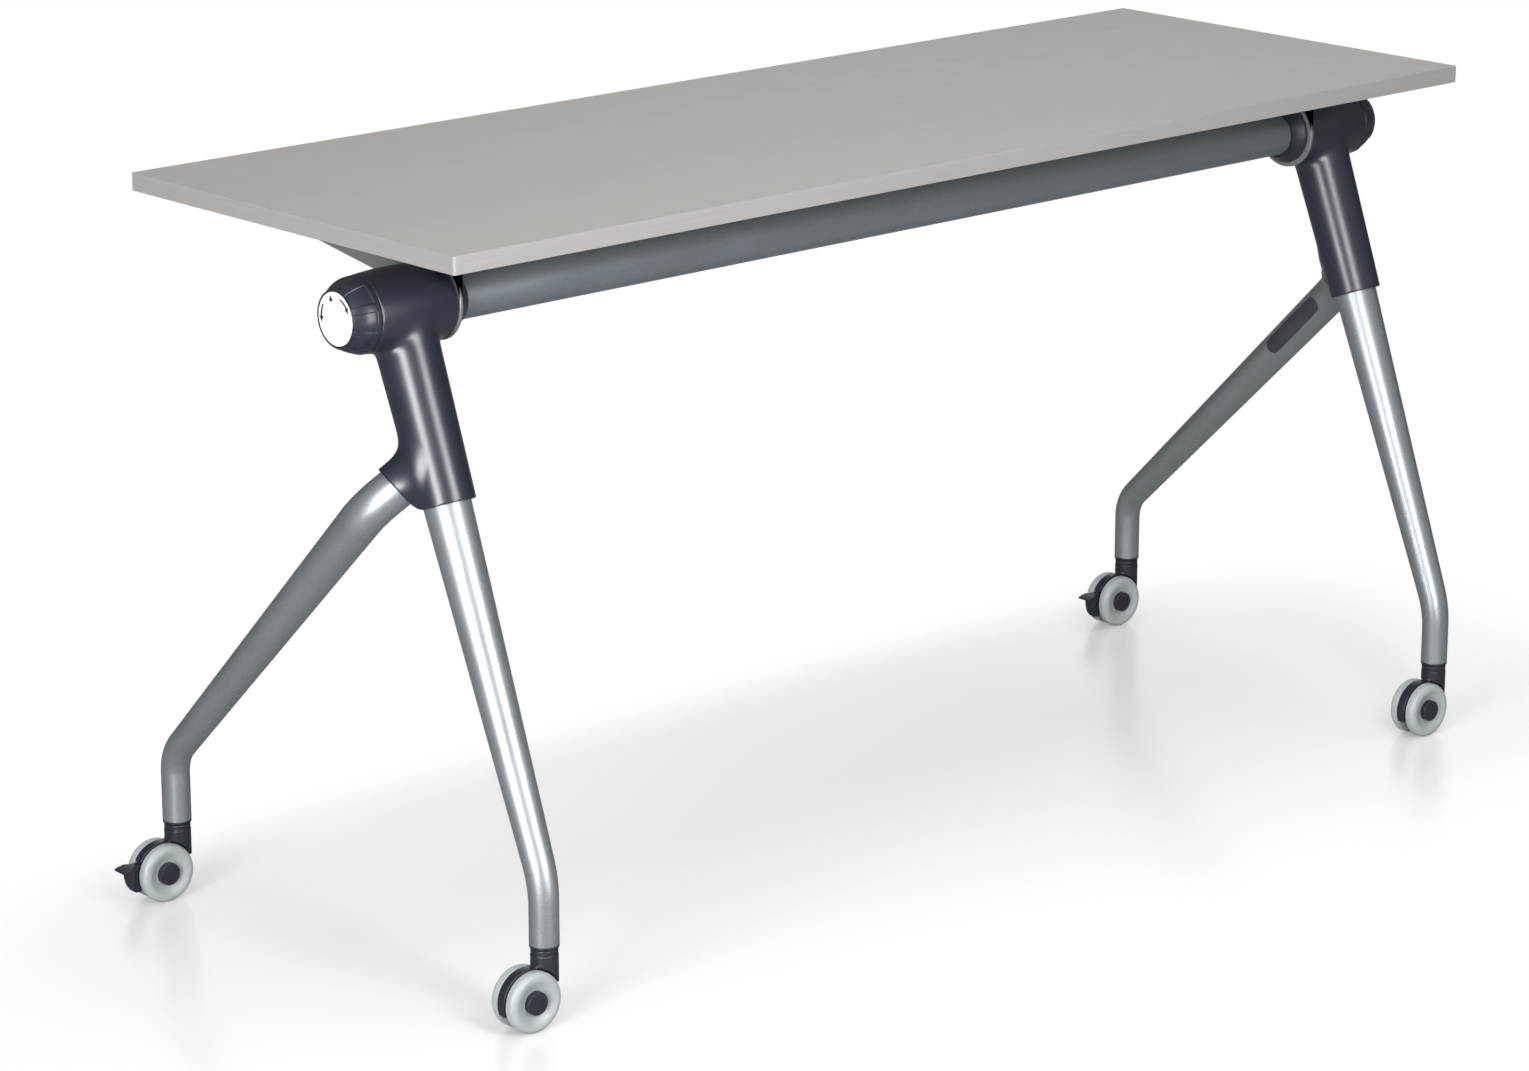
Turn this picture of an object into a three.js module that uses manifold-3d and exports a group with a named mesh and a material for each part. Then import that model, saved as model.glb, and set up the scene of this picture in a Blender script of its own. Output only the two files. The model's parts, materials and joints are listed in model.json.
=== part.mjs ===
// Flip-top training table: a panel that tips up on a cross beam between two castered leg frames.
// Millimetres, +Z up, +X along the table, +Y towards the sitter. The origin is on the floor, in the
// middle of the box that the whole table fills.
import * as THREE from "three";
import { mergeVertices } from "three/addons/utils/BufferGeometryUtils.js";
import Module from "manifold-3d";

const wasm = await Module();
wasm.setup();

// Clearances
const SEAT = 0.3; // between pieces that sit on or in each other
const RUN = 0.3; // between pieces that turn or slide on each other

// Panel top and its edge band
const TABLE_HEIGHT = 738;
const TOP_LENGTH = 1400;
const TOP_DEPTH = 500;
const TOP_THICKNESS = 18;
const BAND_THICKNESS = 2;
const BAND_ARRIS = 0.6;

// Flip axis and cross beam
const AXIS_DROP = 64.5; // below the panel's underside
const AXIS_INSET = 155; // behind the panel's front edge
const BEAM_RADIUS = 23.3;
const BEAM_WALL = 2;

// Leg frames: the column and the front leg lean forward on one line
const END_INSET = 55; // panel's end to the plane of the column and front leg
const CASTER_HEIGHT = 80; // floor to the legs' lower ends

// Head casting: a barrel on the flip axis, the leaning column and a side branch for the rear leg
const BARREL_INNER = 43.5; // from the leg plane towards the table's middle
const BARREL_OUTER = 45.5;
const BARREL_INNER_RADIUS = 37;
const BARREL_OUTER_RADIUS = 37.2;
const BARREL_SWELL = 2.6;
const BARREL_EDGE = 1.2;
const COLUMN_TOP_RADIUS = 31.4;
const COLUMN_RIM_RADIUS = 27.8;
const COLUMN_LENGTH = 190; // flip axis to the lower rim, along the column
const COLUMN_FLARE = 2.4;
const COLUMN_FLARE_LENGTH = 24;
const BRANCH_DOWN = 143; // flip axis to the branch's root, along the column
const BRANCH_LENGTH = 48; // column axis to the branch's rim
const BRANCH_RIM_RADIUS = 23.8;
const BRANCH_FLARE = 4;
const SOCKET_DEPTH = 85;
const SOCKET_WALL = 2; // left between the sockets of the two legs

// Leg tubes, swaged to a taper
const TUBE_WALL = 2;
const FRONT_TOP_RADIUS = 23.4;
const REAR_TOP_RADIUS = 20.5;
const FOOT_RADIUS = 14.5;
const FRONT_REACH = 202; // flip axis to the front foot, horizontally
const FRONT_KNEE_HEIGHT = 140.1;
const FRONT_BEND = 110;
const REAR_OUTSET = 45.6; // rear leg's upper bend, outwards of the leg plane
const FOOT_OUTSET = 49.5;
const REAR_REACH = 315; // flip axis to the rear foot, horizontally
const REAR_TOP_BACK = 42.9; // branch's root to the rear leg's upper bend, horizontally
const REAR_TOP_DROP = 52.4; // and vertically
const REAR_UPPER_BEND = 70;
const REAR_KNEE_HEIGHT = 148;
const REAR_LOWER_BEND = 45;
const PAD_LENGTH = 98;
const PAD_WIDTH = 19.5;
const PAD_THICKNESS = 1.6;
const PAD_DOWN = 77; // upper bend to the pad's middle, along the leg

// Support arm: a plate with a round hub, a tapered tail, a short nose and a flange for the panel
const ARM_PLATE = 3.6;
const ARM_HUB_RADIUS = 38.5;
const ARM_TAIL = 292;
const ARM_TAIL_DEPTH = 19;
const ARM_NOSE = 88;
const ARM_NOSE_DEPTH = 13;
const ARM_NOSE_ANGLE = THREE.MathUtils.degToRad(115); // where the nose leaves the hub
const ARM_ROOT_RISE = 5; // the tail's lower edge above the flip axis, where it leaves the hub
const ARM_FILLET = 14;
const FLANGE_WIDTH = 30;
const FLANGE_THICKNESS = 4;

// Turning joint: a journal on the beam's end runs in a flanged bush in the barrel
const JOURNAL_RADIUS = 15;
const PLUG_DEPTH = 36;
const COLLAR_LENGTH = 15.3;
const COLLAR_RADIUS = 33.5;
const COLLAR_EDGE = 2.5;
const COLLAR_LIP = 3;
const COLLAR_CURVE = 1.2; // power of the curve from the lip to the rim
const BUSH_WALL = 4;
const BUSH_FLANGE_RADIUS = 25;
const BUSH_FLANGE = 2.4;
const BUSH_PROUD = 0.7;
const BUSH_LENGTH = 35;

// Twist lock: a spring holds a cone in the journal's end, and the knob's cam draws it back
const CONE_RADIUS = 12.5;
const CONE_TIP_RADIUS = 8.5;
const CONE_LENGTH = 12;
const PLUNGER_LENGTH = 13;
const LOCK_TRAVEL = 5;
const CAM_TURN = THREE.MathUtils.degToRad(60);
const SPRING_LENGTH = 20;
const SPRING_WIRE = 2.4;
const SPRING_RADIUS = 13.5;
const SPRING_TURNS = 4;
const STEM_WIDTH = 12;
const END_WALL = 6;
const BAR_LENGTH = 38;
const BAR_WIDTH = 5;
const BAR_THICKNESS = 4;

// Knob with its end disc
const KNOB_LENGTH = 27;
const KNOB_FACE_RADIUS = 27.4;
const KNOB_CROWN = 2.2; // power of the curve from the knob's rim to its face
const SPIGOT_LENGTH = 7; // how far the barrel's spigot reaches into the knob
const SPIGOT_RADIUS = 27;
const SPIGOT_WALL = 4;
const CAM_PLATE = 3;
const CAVITY_RADIUS = 21.5;
const DISC_RADIUS = 25.7;
const DISC_THICKNESS = 2;
const GRIP_PANELS = 8;
const GRIP_RIB = THREE.MathUtils.degToRad(10);
const GRIP_DEPTH = 0.9;
const GRIP_MARGIN = 4.5;

// Twin-wheel casters
const CASTER_YAW = THREE.MathUtils.degToRad(-2);
const WHEEL_RADIUS = 30;
const WHEEL_WIDTH = 11;
const WHEEL_GAP = 13; // between the inner faces of a pair
const WHEEL_ROUND = 4.5;
const WHEEL_DISH = 4.5;
const TRAIL = 22;
const AXLE_RADIUS = 3;
const CAP_RADIUS = 11.4;
const CAP_PROUD = 1.8;
const CAP_EDGE = 1;
const HUB_RECESS = 6.2;
const HOOD_WIDTH = 10.6;
const HOOD_RADIUS = 29.5;
const HOOD_FRONT = THREE.MathUtils.degToRad(30); // ends of the hood's arc round the axle
const HOOD_BACK = THREE.MathUtils.degToRad(201);
const BOSS_RADIUS = 9;
const NECK_RADIUS = 13.5;
const NECK_FOOT_HEIGHT = 48;
const GROOVE_HEIGHT = 2;
const GROOVE_DEPTH = 1.1;
const WHEEL_CLEARANCE = 1.5;
const STEM_RADIUS = 5;
const STEM_LENGTH = 32;
const INSERT_FLANGE = 2.2;
const INSERT_LENGTH = 38;

// Brake pedal on the rear casters: a forked hub on a tongue of the hood, a leaf and a claw
const PIVOT_BACK = 20; // axle to pivot
const PIVOT_UP = 6;
const PIVOT_RADIUS = 2.2;
const PEDAL_HUB_RADIUS = 5.5;
const PEDAL_WIDTH = 10;
const TONGUE_WIDTH = 4;
const TONGUE_BACK = THREE.MathUtils.degToRad(190);
const BRAKED_HOOD_BACK = THREE.MathUtils.degToRad(150);
const FORK_CLEARANCE = 2.5;
const LEAF_REACH = 29; // pivot to the leaf's end
const LEAF_WIDTH = 19;
const LEAF_RISE = 4; // the end's upper edge above the pivot
const LEAF_ARCH = 9.5;
const LEAF_THICKNESS = 3;
const LEAF_CORNER = 1.5;
const CLAW_BACK = 21;
const CLAW_DROP = 22; // pivot to the claw's tip
const CLAW_TIP = 3.5;

// Facets round a full turn
const ROUND_SIDES = 20;
const TUBE_SIDES = 16;
const BORE_SIDES = 10;
const INNER_SIDES = 16;
const WHEEL_SIDES = 18;
const SMALL_SIDES = 12;
const ARC_STEPS = 4;

// Finishes
const finish = (color, roughness, metalness) =>
  new THREE.MeshStandardMaterial({ color, roughness, metalness });
const laminate = () => finish(0xaeaaa6, 0.55, 0);
const edging = () => finish(0xbebbb9, 0.5, 0);
const silverPaint = () => finish(0x9aa3a8, 0.38, 0.6);
const greyPaint = () => finish(0x70777b, 0.45, 0.4);
const anthracite = () => finish(0x3a3e4a, 0.35, 0.1);
const darkPlastic = () => finish(0x2f333b, 0.45, 0);
const paleTyre = () => finish(0xcdd6d8, 0.5, 0);
const whitePlastic = () => finish(0xf4f4f2, 0.5, 0);
const brightSteel = () => finish(0xb9bcc0, 0.3, 0.9);

// Geometry with positions alone, shared vertices and no collapsed triangles.
function weld(geometry) {
  const plain = new THREE.BufferGeometry();
  plain.setAttribute("position", geometry.getAttribute("position").clone());
  if (geometry.index) plain.setIndex(geometry.index.clone());
  const merged = mergeVertices(plain, 1e-4);
  const index = merged.index.array;
  const kept = [];
  for (let i = 0; i < index.length; i += 3) {
    const [a, b, c] = index.slice(i, i + 3);
    if (a !== b && b !== c && c !== a) kept.push(a, b, c);
  }
  merged.setIndex(kept);
  return merged;
}

function solid(geometry) {
  const shell = weld(geometry);
  const vertProperties = shell.getAttribute("position").array;
  const triVerts = new Uint32Array(shell.index.array);
  return new wasm.Manifold(new wasm.Mesh({ numProp: 3, vertProperties, triVerts }));
}

function surface(body) {
  const mesh = body.getMesh();
  const points = new Float32Array(mesh.vertProperties);
  const geometry = new THREE.BufferGeometry();
  geometry.setAttribute("position", new THREE.BufferAttribute(points, 3));
  geometry.setIndex(new THREE.BufferAttribute(new Uint32Array(mesh.triVerts), 1));
  return geometry;
}

const join = (...pieces) => surface(pieces.map(solid).reduce((a, b) => a.add(b)));
const cut = (body, ...tools) =>
  surface(tools.map(solid).reduce((a, b) => a.subtract(b), solid(body)));
const common = (a, b) => surface(solid(a).intersect(solid(b)));

// A bore's corners lie this far out, so that its flats are at the radius asked for.
const opened = (radius, sides) => radius / Math.cos(Math.PI / sides);

// Solid of revolution: profile points are [radius, distance along the axis].
function turned(profile, sides, axis) {
  const points = profile.map(([radius, along]) => new THREE.Vector2(radius, along));
  const body = new THREE.LatheGeometry(points, sides);
  if (axis === "x") body.rotateZ(-Math.PI / 2);
  if (axis === "z") body.rotateX(Math.PI / 2);
  return weld(body);
}

const rod = (radius, from, to, sides, axis) =>
  turned([[0, from], [radius, from], [radius, to], [0, to]], sides, axis);
const bore = (radius, from, to, sides, axis) =>
  rod(opened(radius, sides), from, to, sides, axis);

function block(from, to) {
  const size = to.map((high, i) => high - from[i]);
  const middle = to.map((high, i) => (high + from[i]) / 2);
  return weld(new THREE.BoxGeometry(...size).translate(...middle));
}

// A solid built along +Z, turned to a direction and moved to its start.
function aimed(geometry, start, direction) {
  const turn = new THREE.Quaternion().setFromUnitVectors(new THREE.Vector3(0, 0, 1), direction);
  return geometry.applyQuaternion(turn).translate(start.x, start.y, start.z);
}

// Plate from an outline drawn as (y, z), between two X stations.
function plateYZ(shape, from, to, curveSegments) {
  const depth = to - from;
  const plate = new THREE.ExtrudeGeometry(shape, { depth, bevelEnabled: false, curveSegments });
  plate.rotateY(Math.PI / 2).rotateX(Math.PI / 2);
  return weld(plate.translate(from, 0, 0));
}

// Plate from an outline drawn as (x, z), centred on Y = 0.
function plateXZ(shape, width, curveSegments) {
  const plate = new THREE.ExtrudeGeometry(shape, {
    depth: width,
    bevelEnabled: false,
    curveSegments,
  });
  return weld(plate.rotateX(Math.PI / 2).translate(0, width / 2, 0));
}

// Stations of a line with an arc at each inner corner; a bend of 0 is a plain station.
function bentLine(corners, bends) {
  const stations = [];
  const add = (point, tangent) => {
    const last = stations.at(-1);
    const travelled = last ? last.travelled + last.point.distanceTo(point) : 0;
    stations.push({ point, tangent, travelled });
  };
  const heading = (i) => corners[i + 1].clone().sub(corners[i]).normalize();
  add(corners[0], heading(0));
  bends.forEach((bend, i) => {
    const corner = corners[i + 1];
    const u = heading(i);
    const v = heading(i + 1);
    if (bend === 0) return add(corner, u);
    const angle = u.angleTo(v);
    const start = corner.clone().addScaledVector(u, -bend * Math.tan(angle / 2));
    const side = v.clone().addScaledVector(u, -Math.cos(angle)).normalize();
    for (let k = 0; k <= ARC_STEPS; k++) {
      const turn = (angle * k) / ARC_STEPS;
      const point = start.clone().addScaledVector(u, bend * Math.sin(turn));
      point.addScaledVector(side, bend * (1 - Math.cos(turn)));
      const tangent = u.clone().multiplyScalar(Math.cos(turn));
      add(point, tangent.addScaledVector(side, Math.sin(turn)));
    }
  });
  add(corners.at(-1), heading(corners.length - 2));
  return stations;
}

// Round solid along stations, with a radius for each distance travelled.
function swept(stations, radiusAt, sides) {
  const points = [];
  const index = [];
  const first = stations[0].tangent;
  const across = Math.abs(first.x) < 0.9 ? [1, 0, 0] : [0, 1, 0];
  const normal = new THREE.Vector3(...across).cross(first).normalize();
  stations.forEach((station, i) => {
    const before = stations[Math.max(i - 1, 0)].tangent;
    const turn = new THREE.Quaternion().setFromUnitVectors(before, station.tangent);
    normal.applyQuaternion(turn);
    const other = station.tangent.clone().cross(normal);
    const radius = radiusAt(station.travelled);
    for (let k = 0; k < sides; k++) {
      const angle = (2 * Math.PI * (k + 0.5)) / sides;
      const point = station.point.clone().addScaledVector(normal, radius * Math.cos(angle));
      point.addScaledVector(other, radius * Math.sin(angle));
      points.push(point.x, point.y, point.z);
    }
  });
  const ring = (i, k) => i * sides + (k % sides);
  const end = stations.length - 1;
  for (let k = 0; k < sides; k++) {
    for (let i = 0; i < end; i++) {
      index.push(ring(i, k), ring(i, k + 1), ring(i + 1, k + 1));
      index.push(ring(i, k), ring(i + 1, k + 1), ring(i + 1, k));
    }
    index.push(ring(0, 0), ring(0, k + 1), ring(0, k));
    index.push(ring(end, 0), ring(end, k), ring(end, k + 1));
  }
  const geometry = new THREE.BufferGeometry();
  geometry.setAttribute("position", new THREE.Float32BufferAttribute(points, 3));
  geometry.setIndex(index);
  return weld(geometry);
}

// Open tube along a bent line: the bore runs out past both ends.
function hollowTube(corners, bends, radiusAt) {
  const spare = 2;
  const outside = swept(bentLine(corners, bends), radiusAt, TUBE_SIDES);
  const longer = corners.map((corner) => corner.clone());
  const lead = corners[0].clone().sub(corners[1]).normalize();
  const tail = corners.at(-1).clone().sub(corners.at(-2)).normalize();
  longer[0].addScaledVector(lead, spare);
  longer.at(-1).addScaledVector(tail, spare);
  const boreAt = (travelled) => opened(radiusAt(travelled - spare) - TUBE_WALL, BORE_SIDES);
  return cut(outside, swept(bentLine(longer, bends), boreAt, BORE_SIDES));
}

// Radius that holds its first value, falls evenly between two stations and holds its last.
const taper = (from, to, start, end) => (travelled) =>
  THREE.MathUtils.mapLinear(THREE.MathUtils.clamp(travelled, start, end), start, end, from, to);

function piece(parent, name, geometry, material) {
  const mesh = new THREE.Mesh(geometry, material);
  mesh.name = name;
  parent.add(mesh);
  return mesh;
}

// Heights, and stations along the flip axis from the table's middle outwards
const underside = TABLE_HEIGHT - TOP_THICKNESS;
const axisHeight = underside - AXIS_DROP;
const axisY = AXIS_INSET - TOP_DEPTH / 2;
const frameX = TOP_LENGTH / 2 - END_INSET;
const headIn = frameX - BARREL_INNER;
const headOut = frameX + BARREL_OUTER;
const bushIn = headIn - BUSH_PROUD;
const bushOut = bushIn + BUSH_LENGTH;
const bushRadius = JOURNAL_RADIUS + RUN + BUSH_WALL;
const armOut = bushIn - RUN;
const armIn = armOut - ARM_PLATE;
const collarOut = armIn - SEAT;
const collarIn = collarOut - COLLAR_LENGTH;
const beamEnd = collarIn - SEAT;
const journalEnd = bushOut + RUN;
const plungerIn = journalEnd + RUN;
const plungerOut = plungerIn + PLUNGER_LENGTH;
const wallIn = plungerOut + SPRING_LENGTH;
const wallOut = wallIn + END_WALL;
const spigotEnd = headOut + SPIGOT_LENGTH;
const knobIn = headOut + RUN;
const knobOut = headOut + KNOB_LENGTH;
const camIn = spigotEnd + RUN;
const camOut = camIn + CAM_PLATE;
const camHole = STEM_WIDTH / Math.SQRT2 + RUN;
const barIn = camOut + RUN;
const barOut = barIn + BAR_THICKNESS;
const discIn = knobOut - DISC_THICKNESS;

// Points and directions of one leg frame, from the flip axis, with +X outwards
const lean = Math.atan2(FRONT_REACH, axisHeight - FRONT_KNEE_HEIGHT);
const columnDown = new THREE.Vector3(0, -Math.sin(lean), -Math.cos(lean));
const onColumn = (along) => new THREE.Vector3(frameX, 0, 0).addScaledVector(columnDown, along);
const footDrop = CASTER_HEIGHT - axisHeight;
const frontKnee = new THREE.Vector3(frameX, -FRONT_REACH, FRONT_KNEE_HEIGHT - axisHeight);
const frontFoot = new THREE.Vector3(frameX, -FRONT_REACH, footDrop);
const rearKnee = new THREE.Vector3(frameX + FOOT_OUTSET, REAR_REACH, REAR_KNEE_HEIGHT - axisHeight);
const rearFoot = new THREE.Vector3(frameX + FOOT_OUTSET, REAR_REACH, footDrop);
const branchRoot = onColumn(BRANCH_DOWN);
const rearTop = branchRoot.clone().add(new THREE.Vector3(REAR_OUTSET, REAR_TOP_BACK, -REAR_TOP_DROP));
const branchOut = rearTop.clone().sub(branchRoot).normalize();
const onBranch = (along) => branchRoot.clone().addScaledVector(branchOut, along);

// Panel with four strips of edge band
function makeTop(parent) {
  const bandX = TOP_LENGTH / 2 - BAND_THICKNESS;
  const bandY = TOP_DEPTH / 2 - BAND_THICKNESS;
  const [coreX, coreY] = [bandX - SEAT, bandY - SEAT];
  const core = block([-coreX, -coreY, underside], [coreX, coreY, TABLE_HEIGHT]);
  piece(parent, "table_top", core, laminate());

  // Section of a strip: its outer edges are broken by a small arris.
  const strip = (length) => {
    const section = new THREE.Shape([
      new THREE.Vector2(0, underside),
      new THREE.Vector2(BAND_THICKNESS - BAND_ARRIS, underside),
      new THREE.Vector2(BAND_THICKNESS, underside + BAND_ARRIS),
      new THREE.Vector2(BAND_THICKNESS, TABLE_HEIGHT - BAND_ARRIS),
      new THREE.Vector2(BAND_THICKNESS - BAND_ARRIS, TABLE_HEIGHT),
      new THREE.Vector2(0, TABLE_HEIGHT),
    ]);
    return plateYZ(section, -length / 2, length / 2, 1);
  };
  const rear = piece(parent, "edge_band_rear", strip(TOP_LENGTH), edging());
  rear.position.y = bandY;
  const front = piece(parent, "edge_band_front", strip(TOP_LENGTH), edging());
  front.rotation.z = Math.PI;
  front.position.y = -bandY;
  const right = piece(parent, "edge_band_right", strip(2 * coreY), edging());
  right.rotation.z = -Math.PI / 2;
  right.position.x = bandX;
  const left = piece(parent, "edge_band_left", strip(2 * coreY), edging());
  left.rotation.z = Math.PI / 2;
  left.position.x = -bandX;
}

function beamTube() {
  const outside = rod(BEAM_RADIUS, -beamEnd, beamEnd, ROUND_SIDES, "x");
  const inside = bore(BEAM_RADIUS - BEAM_WALL, -beamEnd - 1, beamEnd + 1, ROUND_SIDES, "x");
  return cut(outside, inside);
}

// Plug in the beam's end with the journal that turns in the bush; its end has a conical seat.
function beamPlug() {
  const slope = (CONE_RADIUS - CONE_TIP_RADIUS) / CONE_LENGTH;
  const gap = RUN * Math.hypot(1, slope);
  const seatEnd = plungerIn - CONE_LENGTH - RUN;
  const seatAt = (along) =>
    opened(CONE_RADIUS - slope * (plungerIn - along) + gap, INNER_SIDES);
  const body = turned(
    [
      [0, beamEnd - PLUG_DEPTH],
      [BEAM_RADIUS - BEAM_WALL - SEAT, beamEnd - PLUG_DEPTH],
      [BEAM_RADIUS - BEAM_WALL - SEAT, beamEnd],
      [JOURNAL_RADIUS, beamEnd],
      [JOURNAL_RADIUS, journalEnd],
      [0, journalEnd],
    ],
    INNER_SIDES,
    "x",
  );
  const seat = turned(
    [
      [0, seatEnd],
      [seatAt(seatEnd), seatEnd],
      [seatAt(journalEnd + 1), journalEnd + 1],
      [0, journalEnd + 1],
    ],
    INNER_SIDES,
    "x",
  );
  return cut(body, seat);
}

// Trumpet-shaped collar between the beam and the arm.
function beamCollar() {
  const inside = opened(JOURNAL_RADIUS + SEAT, ROUND_SIDES);
  const small = BEAM_RADIUS + COLLAR_LIP;
  const edge = collarOut - COLLAR_EDGE;
  const flare = [0, 0.45, 0.8, 1].map((t) => [
    small + (COLLAR_RADIUS - small) * t ** COLLAR_CURVE,
    collarIn + (edge - collarIn) * t,
  ]);
  const profile = [[inside, collarIn], ...flare, [COLLAR_RADIUS, collarOut], [inside, collarOut]];
  return turned([...profile, profile[0]], ROUND_SIDES, "x");
}

// Arm plate: hub round the journal, tail and nose up to the flange that carries the panel.
function supportArm() {
  const seatZ = AXIS_DROP - SEAT;
  const tailZ = seatZ - ARM_TAIL_DEPTH;
  const noseZ = seatZ - ARM_NOSE_DEPTH;
  const rise = Math.asin(ARM_ROOT_RISE / ARM_HUB_RADIUS);
  const rootY = ARM_HUB_RADIUS * Math.cos(rise);
  const slope = (tailZ - ARM_ROOT_RISE) / (ARM_TAIL - rootY);
  const filletStart = rise - ARM_FILLET / ARM_HUB_RADIUS;
  const shape = new THREE.Shape();
  shape.moveTo(ARM_TAIL, seatZ);
  shape.lineTo(-ARM_NOSE, seatZ);
  shape.lineTo(-ARM_NOSE, noseZ);
  shape.absarc(0, 0, ARM_HUB_RADIUS, ARM_NOSE_ANGLE, 2 * Math.PI + filletStart, false);
  shape.quadraticCurveTo(
    rootY,
    ARM_ROOT_RISE,
    rootY + ARM_FILLET,
    ARM_ROOT_RISE + ARM_FILLET * slope,
  );
  shape.lineTo(ARM_TAIL, tailZ);
  const plate = plateYZ(shape, armIn, armOut, 10);
  const flange = block(
    [armOut - FLANGE_WIDTH, -ARM_NOSE, seatZ - FLANGE_THICKNESS],
    [armOut, ARM_TAIL, seatZ],
  );
  const hole = bore(JOURNAL_RADIUS + SEAT, armIn - 1, armOut + 1, INNER_SIDES, "x");
  return cut(join(plate, flange), hole);
}

function headBush() {
  const inside = opened(JOURNAL_RADIUS + RUN, INNER_SIDES);
  const profile = [
    [inside, bushIn],
    [BUSH_FLANGE_RADIUS, bushIn],
    [BUSH_FLANGE_RADIUS, bushIn + BUSH_FLANGE],
    [bushRadius, bushIn + BUSH_FLANGE],
    [bushRadius, bushOut],
    [inside, bushOut],
  ];
  return turned([...profile, profile[0]], INNER_SIDES, "x");
}

// Barrel on the flip axis, with a chamfered inner end and the spigot that carries the knob.
function headBarrel() {
  const start = headIn + BARREL_EDGE;
  const swollen = [0, 0.33, 0.67, 1].map((t) => [
    THREE.MathUtils.lerp(BARREL_INNER_RADIUS, BARREL_OUTER_RADIUS, t) +
      4 * BARREL_SWELL * t * (1 - t),
    THREE.MathUtils.lerp(start, headOut, t),
  ]);
  const profile = [
    [0, headIn],
    [BARREL_INNER_RADIUS - BARREL_EDGE, headIn],
    ...swollen,
    [SPIGOT_RADIUS, headOut],
    [SPIGOT_RADIUS, spigotEnd],
    [0, spigotEnd],
  ];
  return turned(profile, ROUND_SIDES, "x");
}

// Leaning column, flared a little where it leaves the barrel.
function headColumn() {
  const straightAt = (along) =>
    THREE.MathUtils.mapLinear(along, 0, COLUMN_LENGTH, COLUMN_TOP_RADIUS, COLUMN_RIM_RADIUS);
  const flareStart = BARREL_OUTER_RADIUS / 2;
  const flareEnd = BARREL_OUTER_RADIUS + COLUMN_FLARE_LENGTH;
  const flare = [0, 0.3, 0.6, 1].map((t) => {
    const along = THREE.MathUtils.lerp(flareStart, flareEnd, t);
    return [straightAt(along) + COLUMN_FLARE * (1 - t) ** 2, along];
  });
  const profile = [
    [0, 0],
    [flare[0][0], 0],
    ...flare,
    [COLUMN_RIM_RADIUS, COLUMN_LENGTH],
    [0, COLUMN_LENGTH],
  ];
  return aimed(turned(profile, ROUND_SIDES, "z"), onColumn(0), columnDown);
}

// Branch for the rear leg, flared into the column.
function headBranch() {
  const start = COLUMN_RIM_RADIUS / 3;
  const flared = [0, 0.4, 0.7, 1].map((t) => [
    BRANCH_RIM_RADIUS + BRANCH_FLARE * (1 - t) ** 2,
    THREE.MathUtils.lerp(start, BRANCH_LENGTH, t),
  ]);
  const profile = [[0, start], ...flared, [0, BRANCH_LENGTH]];
  return aimed(turned(profile, ROUND_SIDES, "z"), onBranch(0), branchOut);
}

// Round wall about the front leg's socket, which the rear leg's end is coped to.
function copeTool(extra) {
  const radius = opened(FRONT_TOP_RADIUS + SEAT, TUBE_SIDES) + SOCKET_WALL + extra;
  return aimed(rod(radius, 0, 2 * COLUMN_LENGTH, TUBE_SIDES, "z"), onColumn(0), columnDown);
}

// Head casting: barrel, column and branch as one body, bored for what it holds.
function headCasting() {
  const socketTop = COLUMN_LENGTH - SOCKET_DEPTH;
  const frontSocket = bore(FRONT_TOP_RADIUS + SEAT, socketTop, COLUMN_LENGTH + 1, TUBE_SIDES, "z");
  const rearSocket = bore(REAR_TOP_RADIUS + SEAT, 0, BRANCH_LENGTH + 1, TUBE_SIDES, "z");
  const recessEnd = bushIn + BUSH_FLANGE + SEAT;
  const half = STEM_WIDTH / 2 + RUN;
  return cut(
    join(headBarrel(), headColumn(), headBranch()),
    aimed(frontSocket, onColumn(0), columnDown),
    cut(aimed(rearSocket, onBranch(0), branchOut), copeTool(0)),
    bore(BUSH_FLANGE_RADIUS + SEAT, headIn - 1, recessEnd, INNER_SIDES, "x"),
    bore(bushRadius + SEAT, headIn - 1, wallIn, INNER_SIDES, "x"),
    block([wallIn - 1, -half, -half], [wallOut + 1, half, half]),
    bore(SPIGOT_RADIUS - SPIGOT_WALL, wallOut, spigotEnd + 1, INNER_SIDES, "x"),
  );
}

function frontLeg() {
  const top = onColumn(COLUMN_LENGTH - SOCKET_DEPTH + SEAT);
  const rim = onColumn(COLUMN_LENGTH);
  const bendStart = top.distanceTo(frontKnee) - FRONT_BEND * Math.tan(lean / 2);
  const bendEnd = bendStart + FRONT_BEND * lean;
  const radiusAt = taper(FRONT_TOP_RADIUS, FOOT_RADIUS, top.distanceTo(rim), bendEnd);
  return hollowTube([top, rim, frontKnee, frontFoot], [0, FRONT_BEND], radiusAt);
}

// Rear leg: from the branch, round the upper bend, down the slope and upright at the foot
const rearCorners = [onBranch(0), rearTop, rearKnee, rearFoot];
const rearBends = [REAR_UPPER_BEND, REAR_LOWER_BEND];
const rearLine = bentLine(rearCorners, rearBends);
const slopeStart = rearLine[ARC_STEPS + 1].travelled;
const slopeEnd = rearLine.at(-2).travelled;
const rearRadiusAt = taper(REAR_TOP_RADIUS, FOOT_RADIUS, slopeStart, slopeEnd);

function rearLeg() {
  return cut(hollowTube(rearCorners, rearBends, rearRadiusAt), copeTool(SEAT));
}

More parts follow.
